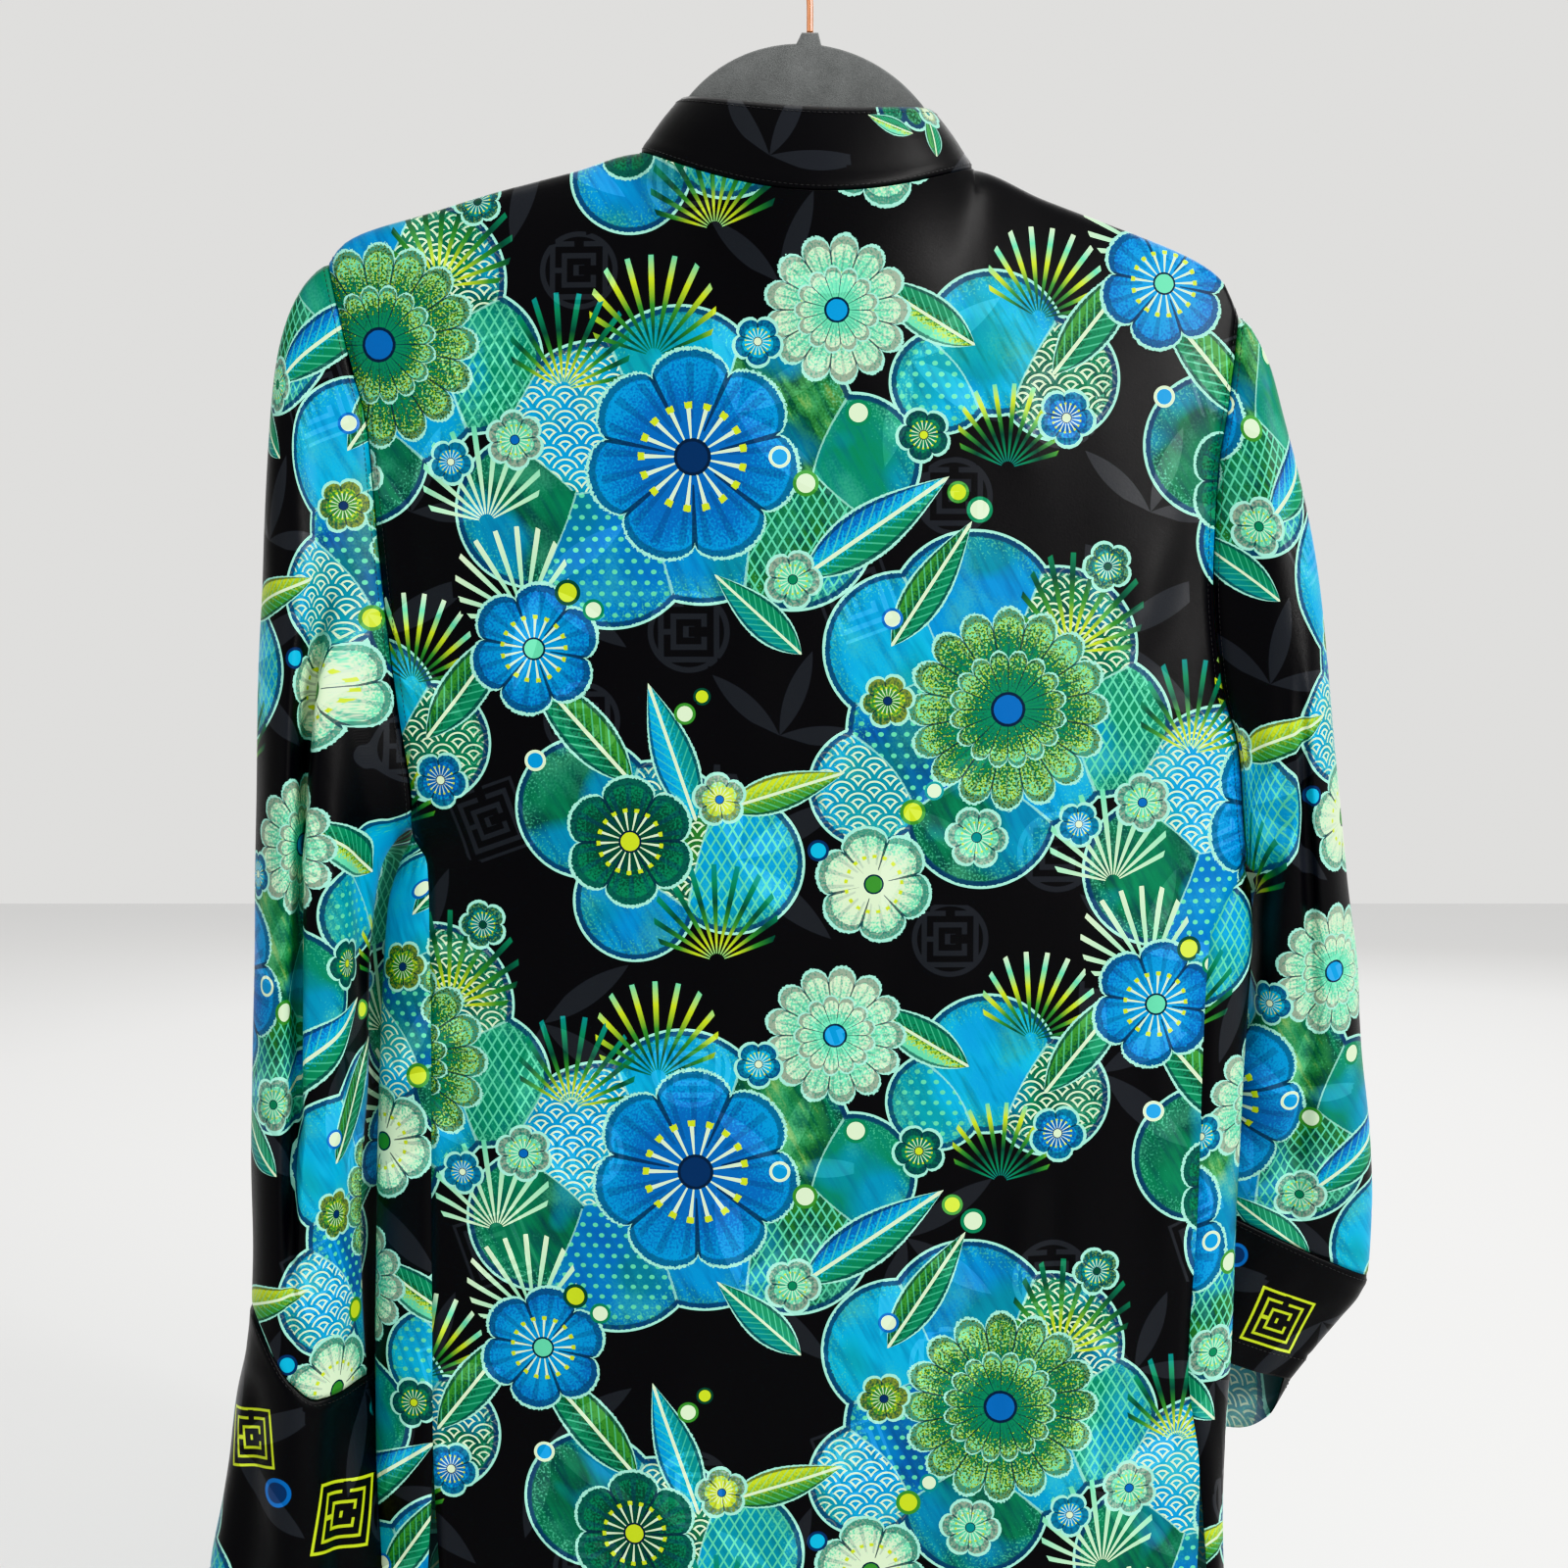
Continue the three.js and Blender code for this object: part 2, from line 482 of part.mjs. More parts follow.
// Collar
function collar() {
  const back = [90, ...NECK_ANGLES];
  const front = [...NECK_ANGLES, ...FRONT_ANGLES].map((angle) => 180 - angle).reverse();
  const right = [...front, ...back];
  const angles = [...right.map((angle) => -angle), 0, ...right.reverse()];
  const loopAt = (angle, share) => {
    const base = neckPoint(NECK, angle, SEAM_GAP);
    const top = neckPoint(COLLAR_TOP, angle);
    const toEnd = (COLLAR_END - Math.abs(angle)) / COLLAR_ROUND;
    const height = toEnd < 1 ? mix(COLLAR_END_HEIGHT, 1, Math.sqrt(1 - (1 - toEnd) ** 2)) : 1;
    return base.lerp(top, share * height);
  };
  const grid = COLLAR_ROWS.map((share) => angles.map((angle) => loopAt(angle, share)));
  const outward = (p) => new THREE.Vector3(p.x - NECK_X, p.y, 0);
  const square = new THREE.Vector3(0, 0, 1);
  return thicken(grid, COLLAR_WALL, false, outward, (i) => (i === 0 ? square : null));
}

// Sleeves
// The armhole loop: the back edge from the shoulder down to the underarm, then up the front edge.
function armholeLoop(side) {
  const tip = shoulderColumn(side < 0 ? SHOULDER_LEFT[0] : SHOULDER_RIGHT.at(-1));
  const edge = (face, level) => panelPoint(face, tip, level, 1, side, () => 0);
  const levels = [0, ...ARMHOLE_ROWS, UNDERARM];
  const back = levels.map((level) => edge(-1, level));
  const front = ARMHOLE_ROWS.map((level) => edge(1, level)).reverse();
  const loop = [...back, ...front];
  const seam = [...levels, ...[...ARMHOLE_ROWS].reverse()];
  loop.forEach((p, j) => {
    p.x += side * SEAM_GAP;
    p.z += SEAM_GAP * ease((seam[j] - ARMHOLE_LIFT_FROM) / (UNDERARM - ARMHOLE_LIFT_FROM));
  });
  loop[0].y = 0;
  loop[levels.length - 1].y = 0;
  return loop;
}

// A point of a ring, 0 degrees at its outer point, 90 at the back and 180 at its inner point.
function ringPoint(ring, angle) {
  const turn = degrees(angle);
  const reach = Math.sign(Math.cos(turn)) * Math.abs(Math.cos(turn)) ** RING_POWER;
  const deep = Math.sign(Math.sin(turn)) * Math.abs(Math.sin(turn)) ** RING_POWER;
  const share = (1 - reach) / 2;
  return new THREE.Vector3(
    mix(ring.outX, ring.inX, share),
    ring.midY - ring.depth * deep,
    mix(ring.outZ, ring.inZ, share),
  );
}

function ringMiddle(ring) {
  return new THREE.Vector3((ring.outX + ring.inX) / 2, ring.midY, (ring.outZ + ring.inZ) / 2);
}

// The left cuff seam runs level at the outside and drops behind it.
function cuffSeamShift(ring, angle) {
  const around = Math.min(angle, 360 - angle);
  const { start, end } = CUFF_SEAM_LEFT;
  const turn = degrees(around);
  const reach = Math.sign(Math.cos(turn)) * Math.abs(Math.cos(turn)) ** RING_POWER;
  const straight = (1 - reach) / 2;
  return (ease((around - start) / (end - start)) - straight) * (ring.inZ - ring.outZ);
}

function sleeveGrid(side, rings) {
  const loop = armholeLoop(side);
  const step = 360 / RING_SIDES;
  const strays = loop.map((p, j) => p.clone().sub(ringPoint(rings[0], j * step)));
  const last = rings.length - 1;
  return rings.map((ring, i) =>
    loop.map((_, j) => {
      const angle = j * step;
      const p = ringPoint(ring, angle).addScaledVector(strays[j], ring.follow);
      const inward = ringMiddle(ring).sub(p).setZ(0).normalize();
      const fold = ring.groove * bump(angle - GROOVE_ANGLE, GROOVE_SPREAD);
      const pipe = ring.pipe * bump(angle - PIPE_ANGLE, PIPE_SPREAD);
      p.addScaledVector(inward, fold - pipe);
      const slant = side < 0 ? ease((i - last) / CUFF_SEAM_LEFT.sleeveRings + 1) : 0;
      p.z += slant * cuffSeamShift(ring, angle);
      return p;
    }),
  );
}

function tubeOutward(rings) {
  return (p, i) => p.clone().sub(ringMiddle(rings[i]));
}

function seamAxis(cuffRings) {
  return ringMiddle(cuffRings[1]).sub(ringMiddle(cuffRings[0])).normalize();
}

function sleeve(side, rings, cuffRings) {
  const last = rings.length - 1;
  const alongX = new THREE.Vector3(1, 0, 0);
  const axis = seamAxis(cuffRings);
  const rims = (i) => {
    if (i === 0) return alongX;
    return i === last ? axis : null;
  };
  return thicken(sleeveGrid(side, rings), WALL, true, tubeOutward(rings), rims);
}

// Cuffs
function cuffGrid(side, rings, sleeveRings) {
  const seam = sleeveGrid(side, sleeveRings).at(-1);
  const axis = seamAxis(rings);
  const step = 360 / RING_SIDES;
  return rings.map((ring, i) =>
    seam.map((edge, j) => {
      if (i === 0) return edge.clone().addScaledVector(axis, SEAM_GAP);
      const angle = j * step;
      const p = ringPoint(ring, angle);
      const far = Math.max(0, -Math.sin(degrees(angle)));
      p.z -= ring.drop * ease(far);
      const inward = ringMiddle(ring).sub(p).setZ(0).normalize();
      const wave = Math.cos(degrees(CUFF_FLUTES.count * angle + CUFF_FLUTES.turn));
      p.addScaledVector(inward, ring.flute * wave);
      const slant = side < 0 ? 1 - ease(i / CUFF_SEAM_LEFT.cuffRings) : 0;
      p.z += slant * cuffSeamShift(ring, angle);
      return p;
    }),
  );
}

function cuff(side, rings, sleeveRings) {
  const axis = seamAxis(rings);
  const grid = cuffGrid(side, rings, sleeveRings);
  return thicken(grid, WALL, true, tubeOutward(rings), (i) => (i === 0 ? axis : null));
}

// Buttons
function buttonShape() {
  const { radius, thick, dish, chamfer, rim, sides } = BUTTON;
  const crown = radius - chamfer;
  const profile = [
    new THREE.Vector2(0, 0),
    new THREE.Vector2(crown, 0),
    new THREE.Vector2(radius, chamfer),
    new THREE.Vector2(crown, thick),
    new THREE.Vector2(crown - rim, thick),
    new THREE.Vector2(crown - 2 * rim, thick - dish),
    new THREE.Vector2(0, thick - dish),
  ];
  const shape = new THREE.LatheGeometry(profile, sides);
  shape.rotateX(Math.PI / 2);
  return shape;
}

function placeButton(mesh, index) {
  const { count, first, last, clear, step } = BUTTON_ROW;
  const level = mix(first, last, index / (count - 1));
  const column = neckColumn(1, 0);
  const share = columnShare(1, { x: 0 }, 1);
  const place = panelPoint(1, column, level, share, 1, () => 0);
  const below = panelPoint(1, column, level + step, share, 1, () => 0);
  const down = below.sub(place).normalize();
  const out = new THREE.Vector3(1, 0, 0).cross(down).normalize();
  if (out.y < 0) out.negate();
  mesh.quaternion.setFromUnitVectors(new THREE.Vector3(0, 0, 1), out);
  mesh.position.copy(place).addScaledVector(out, clear);
}

// Hanger
function hangerTop(x) {
  const across = Math.abs(x - NECK_X);
  const tilt = NECK_TILT * (x - NECK_X);
  if (across <= DOME.edge) {
    return DOME.apexZ - (DOME.radius - Math.sqrt(DOME.radius ** 2 - across ** 2)) + tilt;
  }
  if (across < NECK.halfWidth) return follow(HANGER_NECK, "across", "z", across) + tilt;
  return shoulderChord(x) - HANGER.under;
}

// The shoulder line as the panels have it, straight between their columns.
function shoulderChord(x) {
  const places = x < 0 ? SHOULDER_LEFT : SHOULDER_RIGHT;
  let k = 1;
  while (k < places.length - 1 && places[k] < x) k += 1;
  const share = (x - places[k - 1]) / (places[k] - places[k - 1]);
  return mix(shoulderColumn(places[k - 1]).topZ, shoulderColumn(places[k]).topZ, share);
}

function hangerOutline() {
  const { leftTip, rightTip } = HANGER;
  const left = [leftTip, ...SHOULDER_LEFT.slice(2, -1), ...DOME_LEFT, -NUB.halfWidth];
  const right = [NUB.halfWidth, ...DOME_RIGHT, ...SHOULDER_RIGHT.slice(1, -2), rightTip];
  const outline = new THREE.Shape();
  outline.moveTo(leftTip, hangerTop(leftTip) - ARM.endFace);
  left.forEach((x) => outline.lineTo(x, hangerTop(x)));
  outline.lineTo(-NUB.topHalfWidth, NUB.topZ);
  outline.lineTo(NUB.topHalfWidth, NUB.topZ);
  right.forEach((x) => outline.lineTo(x, hangerTop(x)));
  outline.lineTo(rightTip, hangerTop(rightTip) - ARM.endFace);
  UNDER_EDGE.forEach((x) => {
    const end = x < 0 ? leftTip : rightTip;
    outline.lineTo(x, Math.min(hangerTop(x), ARM.archZ) - mix(ARM.middle, ARM.tip, (x / end) ** 2));
  });
  return outline;
}

function hanger() {
  const { thick, bevel } = HANGER;
  const shape = new THREE.ExtrudeGeometry(hangerOutline(), {
    depth: thick - 2 * bevel,
    bevelThickness: bevel,
    bevelSize: bevel,
    bevelOffset: -bevel,
    bevelSegments: 1,
    steps: 1,
  });
  shape.rotateX(Math.PI / 2);
  shape.translate(0, thick / 2 - bevel, 0);
  return shape;
}

// The wire rises from the nub, swings out and goes over the peg.
function hook() {
  const { radius, inner, sides, steps, startAngle, endAngle, stepAngle } = HOOK;
  const bend = inner + radius;
  const stem = [{ x: 0, z: NUB.topZ + SEAM_GAP }, ...STEM];
  const points = stem.map(({ x, z }) => new THREE.Vector3(x, 0, z));
  for (let angle = startAngle; angle <= endAngle; angle += stepAngle) {
    const turn = degrees(angle);
    points.push(new THREE.Vector3(bend * Math.cos(turn), 0, bend * Math.sin(turn) - inner));
  }
  const section = new THREE.Shape();
  for (let k = 0; k < sides; k += 1) {
    const turn = (2 * Math.PI * k) / sides;
    const corner = [radius * Math.cos(turn), radius * Math.sin(turn)];
    if (k === 0) section.moveTo(...corner);
    else section.lineTo(...corner);
  }
  const path = new THREE.CatmullRomCurve3(points, false, "centripetal");
  return new THREE.ExtrudeGeometry(section, { steps, bevelEnabled: false, extrudePath: path });
}

function finish(color, roughness, metalness) {
  return new THREE.MeshStandardMaterial({ color, roughness, metalness });
}

const materials = {
  silk: finish(0x0f4f74, 0.45, 0),
  trim: finish(0x101012, 0.5, 0),
  flock: finish(0x4f5154, 0.95, 0),
  copper: finish(0xb87350, 0.3, 1),
  button: finish(0x141416, 0.35, 0),
};

const tunic = new THREE.Group();

function add(name, geometry, material) {
  const mesh = new THREE.Mesh(geometry, material);
  mesh.name = name;
  tunic.add(mesh);
  return mesh;
}

add("back", backPanel(), materials.silk);
add("front_left", frontPanel(-1), materials.silk);
add("front_right", frontPanel(1), materials.silk);
add("collar", collar(), materials.trim);
add("sleeve_left", sleeve(-1, SLEEVE_LEFT, CUFF_LEFT), materials.silk);
add("sleeve_right", sleeve(1, SLEEVE_RIGHT, CUFF_RIGHT), materials.silk);
add("cuff_left", cuff(-1, CUFF_LEFT, SLEEVE_LEFT), materials.trim);
add("cuff_right", cuff(1, CUFF_RIGHT, SLEEVE_RIGHT), materials.trim);
for (let index = 0; index < BUTTON_ROW.count; index += 1) {
  placeButton(add(`button_${index + 1}`, buttonShape(), materials.button), index);
}
add("hanger", hanger(), materials.flock);
add("hook", hook(), materials.copper);

export default tunic;
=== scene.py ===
"""Looks of a printed silk tunic top on a slim flocked hanger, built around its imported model.

Sizes are in millimetres until a mesh is made, and meshes are in metres. +Z is up, and -Y is the side
shown, the wearer's back. Left is -X.
"""

import logging
import math
from dataclasses import dataclass, field, replace
from enum import Enum
from typing import Callable, NamedTuple, Optional, Sequence

import bmesh
import bpy
import numpy as np
from bpy.types import Material, Mesh, Node, NodeSocket, NodeTree, Object
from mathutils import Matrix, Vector
from numpy import ndarray
from numpy.linalg import norm


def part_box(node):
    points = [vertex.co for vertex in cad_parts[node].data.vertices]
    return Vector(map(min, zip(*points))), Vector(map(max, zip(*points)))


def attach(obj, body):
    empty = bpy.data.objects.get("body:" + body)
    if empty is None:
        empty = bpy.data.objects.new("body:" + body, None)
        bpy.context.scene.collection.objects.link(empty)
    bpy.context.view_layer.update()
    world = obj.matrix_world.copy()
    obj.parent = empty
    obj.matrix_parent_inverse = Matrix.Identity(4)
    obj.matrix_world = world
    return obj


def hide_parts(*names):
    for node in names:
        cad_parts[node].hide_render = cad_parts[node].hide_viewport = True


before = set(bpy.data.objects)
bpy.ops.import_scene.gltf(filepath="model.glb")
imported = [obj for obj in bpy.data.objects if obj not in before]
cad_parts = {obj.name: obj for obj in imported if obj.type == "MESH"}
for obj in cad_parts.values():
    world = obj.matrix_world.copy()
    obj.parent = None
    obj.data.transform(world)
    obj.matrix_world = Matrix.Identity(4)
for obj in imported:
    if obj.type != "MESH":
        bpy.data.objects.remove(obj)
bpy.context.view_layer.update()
LOG = logging.getLogger("tunic")
MM = 0.001
CREASE_END, CREASE_SWAY = 14.0, 0.25
HEM_STEP, HEM_STEP_WIDTH, HEM_GROOVE, HEM_GROOVE_WIDTH = 0.45, 3.2, 0.3, 1.5


def ease(t: ndarray) -> ndarray:
    """A soft step from 0 at t = 0 to 1 at t = 1."""
    t = np.clip(t, 0.0, 1.0)
    return t * t * (3.0 - 2.0 * t)


def bump(offset: ndarray, spread: float) -> ndarray:
    """A bell curve, 1 in its middle."""
    return np.exp(-((offset / spread) ** 2))


def running(steps: ndarray) -> ndarray:
    """The running total of steps down their rows, from 0."""
    return np.concatenate([np.zeros((1, *steps.shape[1:])), np.cumsum(steps, axis=0)])


def placed(name: str, data: object) -> Object:
    """A new object in the scene."""
    thing = bpy.data.objects.new(name, data)
    bpy.context.scene.collection.objects.link(thing)
    return thing


class Profile:
    """A smooth curve through the rows of a table, which never overshoots them."""

    def __init__(self, places: Sequence[float], values: Sequence[float]) -> None:
        """Works out the slope at each row.

        Args:
            places: Where the rows are, rising.
            values: The value at each row, a number or a vector.
        """
        self.places = np.asarray(places, float)
        self.values = np.asarray(values, float)
        spans = np.diff(self.places)
        if self.values.ndim > 1:
            spans = spans[:, None]
        slopes = np.diff(self.values, axis=0) / spans
        product = slopes[:-1] * slopes[1:]
        total = np.where(product > 0, slopes[:-1] + slopes[1:], 1.0)
        middle = np.where(product > 0, 2.0 * product / total, 0.0)
        self.tangents = np.concatenate([slopes[:1], middle, slopes[-1:]])

    def __call__(self, place: ndarray) -> ndarray:
        """The values at the given places."""
        place = np.clip(np.asarray(place, float), self.places[0], self.places[-1])
        i = np.clip(np.searchsorted(self.places, place, side="right") - 1, 0, len(self.places) - 2)
        span = self.places[i + 1] - self.places[i]
        t = (place - self.places[i]) / span
        if self.values.ndim > 1:
            span, t = span[..., None], t[..., None]
        start, rise = self.values[i], self.values[i + 1] - self.values[i]
        bend, settle = self.tangents[i] * span, self.tangents[i + 1] * span
        return start + t * (bend + t * (3 * rise - 2 * bend - settle + t * (bend + settle - 2 * rise)))


def table(kind: type, *rows: tuple) -> tuple:
    """A table of one kind of row."""
    return tuple(kind(*row) for row in rows)


class Crease(NamedTuple):
    """A soft trough or ridge laid on the cloth, in the piece's own pattern coordinates."""

    across: float
    down: float
    to_across: float
    to_down: float
    width: float
    height: float
    bow: float = 0.0


def crease_relief(creases: Sequence[Crease], across: ndarray, down: ndarray) -> ndarray:
    """How far the creases lift the cloth.

    Args:
        creases: The creases of the piece, with a height above 0 for a ridge and below 0 for a trough.
        across: Place of each point across the cloth, in millimetres.
        down: Place of each point down the cloth, in millimetres.

    Returns:
        The lift at each point, in millimetres.
    """
    lift = np.zeros_like(across)
    for number, crease in enumerate(creases):
        run_across, run_down = crease.to_across - crease.across, crease.to_down - crease.down
        length = math.hypot(run_across, run_down)
        along_x, along_y = run_across / length, run_down / length
        offset_x, offset_y = across - crease.across, down - crease.down
        along = (offset_x * along_x + offset_y * along_y) / length
        inside = np.clip(along, 0.0, 1.0)
        away = offset_y * along_x - offset_x * along_y - crease.bow * 4.0 * inside * (1.0 - inside)
        past = (along - inside) * length
        sway = 1.0 + CREASE_SWAY * np.sin(3.0 * math.pi * along + 1.7 * number)
        fade = ease(1.0 - np.abs(2.0 * inside - 1.0) ** 3 * 0.85)
        bell = np.exp(-((away / (crease.width * sway)) ** 2) - (past / CREASE_END) ** 2)
        lift += crease.height * fade * sway * bell
    return lift


class BodyLevel(NamedTuple):
    """The body's outline at a level, from 0 at the shoulder line to 1 at the hem."""

    level: float
    seam_left: float
    side_left: float
    seam_right: float
    side_right: float
    back: float
    front: float


class Ring(NamedTuple):
    """A ring of a sleeve or cuff, from its outer point to its inner point."""

    out_x: float
    out_z: float
    in_x: float
    in_z: float
    mid_y: float
    depth: float
    follow: float = 0.0
    groove: float = 0.0
    pipe: float = 0.0
    drop: float = 0.0
    flute: float = 0.0


class NeckLoop(NamedTuple):
    """A loop around the neck."""

    half_width: float
    back: float
    front: float
    side_z: float
    back_z: float
    front_z: float


class Fold(NamedTuple):
    """A large fold low on a panel."""

    x: float
    start: float
    half_width: float
    depth: float


BACK, FRONT = -1, 1
LEFT, RIGHT = -1, 1


@dataclass
class Form:
    """The garment's form: the places of its panels, neck, armholes and sleeves."""

    wall: float = 0.7
    underarm: float = 0.38
    vent_top: float = 0.79
    vent_open: float = 6.0
    hem_z: float = -881.0
    hem_tilt: float = 0.005
    section_power: float = 2.6
    ridge_radius: float = 5.0
    ridge_fall: float = 35.0
    neck_fall: float = 40.0
    front_overlap: float = 13.0
    front_tuck: float = 1.9
    section_steps: int = 240
    neck_x: float = -1.5
    neck_tilt: float = -0.0484
    neck_dip: float = 1.8
    neck: NeckLoop = NeckLoop(77.5, 45, 38, -133.2, -153, -200)
    collar_top: NeckLoop = NeckLoop(58.5, 37, 31, -107.5, -114.5, -166)
    levels: tuple[BodyLevel, ...] = table(
        BodyLevel,
        (0.0, 224, 236, 200, 211, 26, 24), (0.065, 213.5, 227, 194.5, 207.5, 27, 25),
        (0.11, 205.5, 221, 190, 204, 28, 27), (0.18, 201.5, 217, 188.5, 202.5, 29, 28),
        (0.25, 197, 212, 193, 207.5, 30, 29), (0.3, 193, 208, 202, 213.5, 30, 29),
        (0.36, 188, 199, 206.5, 212, 29, 28), (0.38, 190, 190, 209, 209, 29, 28),
        (0.4, 181, 196, 200, 212, 29, 28), (0.43, 180, 202.5, 190, 213, 29, 27),
        (0.5, 180, 206.5, 188, 211, 28, 26), (0.62, 181, 209.5, 187, 208.5, 28, 25),
        (0.74, 182, 212, 184, 206, 27, 25), (0.82, 182.5, 213, 191, 204.5, 28, 26),
        (0.9, 183, 214, 193, 206, 30, 28), (1.0, 184, 216, 194, 208, 33, 31),
    )
    shoulder: tuple[tuple[float, float], ...] = (
        (-224, -179), (-218, -171), (-208, -165.5), (-179, -157), (-146, -147), (-109, -137.5),
        (-79, -129.5), (76, -137), (108, -150), (132, -159), (161, -170), (181, -179), (193, -188),
        (200, -203),
    )
    back_folds: tuple[Fold, ...] = table(
        Fold,
        (158, 0.5, 17, 5), (118, 0.62, 20, -2.5), (22, 0.66, 24, 3), (-62, 0.6, 26, -2.5),
        (-136, 0.55, 22, 3.5),
    )
    front_folds: tuple[Fold, ...] = table(
        Fold,
        (150, 0.35, 20, 4), (88, 0.5, 22, -3), (-92, 0.45, 22, 4), (-146, 0.3, 20, -3),
    )

    def __post_init__(self) -> None:
        """Makes a curve of each column of the tables."""
        table = np.array(self.levels, float)
        self.curves = {name: Profile(table[:, 0], table[:, k]) for k, name in enumerate(BodyLevel._fields)}
        line = np.array(self.shoulder, float)
        self.shoulder_line = Profile(line[:, 0], line[:, 1])
        self.turns = np.radians(90.0 - 150.0 * np.arange(self.section_steps + 1) / self.section_steps)

    def section(self, side: int, face: int, level: float) -> tuple[ndarray, ndarray, ndarray]:
        """The body's outline at a level, from the middle of one face round the side edge.

        Args:
            side: LEFT or RIGHT.
            face: BACK or FRONT, the face where it starts.
            level: The level.

        Returns:
            The x, the y and the length along the cloth of each point.
        """
        width = self.curves["side_left" if side < 0 else "side_right"](level)
        deep = {FRONT: self.curves["front"](level), BACK: self.curves["back"](level)}
        power = 2.0 / self.section_power
        x = side * width * np.abs(np.cos(self.turns)) ** power
        half = np.where(self.turns >= 0, face, -face)
        depth = np.where(half > 0, deep[FRONT], deep[BACK])
        y = half * depth * np.abs(np.sin(self.turns)) ** power
        return x, y, running(np.hypot(np.diff(x), np.diff(y)))

    def section_length(self, side: int, face: int, level: float, x: float, wrapped: bool) -> float:
        """The length along the cloth from the middle of a face to a place x."""
        width = self.curves["side_left" if side < 0 else "side_right"](level)
        turn = math.acos(min(1.0, abs(x) / float(width)) ** (self.section_power / 2))
        _, _, length = self.section(side, face, level)
        return float(np.interp(turn if wrapped else -turn, -self.turns, length))

    def edge_length(self, side: int, face: int, level: float) -> float:
        """The length from the middle of a face to the panel's edge: the armhole, then the side seam."""
        seam = float(self.curves["seam_left" if side < 0 else "seam_right"](level))
        wrapped = face > 0 and level > self.underarm
        vent = self.vent_open * float(ease((level - self.vent_top) / (1.0 - self.vent_top)))
        return self.section_length(side, face, level, seam, wrapped) - vent

    def neck_points(self, loop: NeckLoop, angles: ndarray) -> ndarray:
        """Points of a neck loop, 0 degrees at the middle of the back and rising towards +X."""
        turn = np.radians(angles)
        back = np.cos(turn) > 0
        x = self.neck_x + loop.half_width * np.sin(turn)
        y = -np.where(back, loop.back, loop.front) * np.cos(turn)
        share = np.where(back, np.cos(turn) ** 2, np.abs(np.cos(turn)) ** self.neck_dip)
        z = loop.side_z + (np.where(back, loop.back_z, loop.front_z) - loop.side_z) * share
        return np.stack([x, y, z + self.neck_tilt * (x - self.neck_x)], axis=-1)


@dataclass
class Columns:
    """The columns of a panel: where each starts on the shoulder or neck, and its share across."""

    x: ndarray
    top_z: ndarray
    top_y: ndarray
    ridge: ndarray
    share: ndarray
    side: ndarray
    even: Optional[ndarray] = None


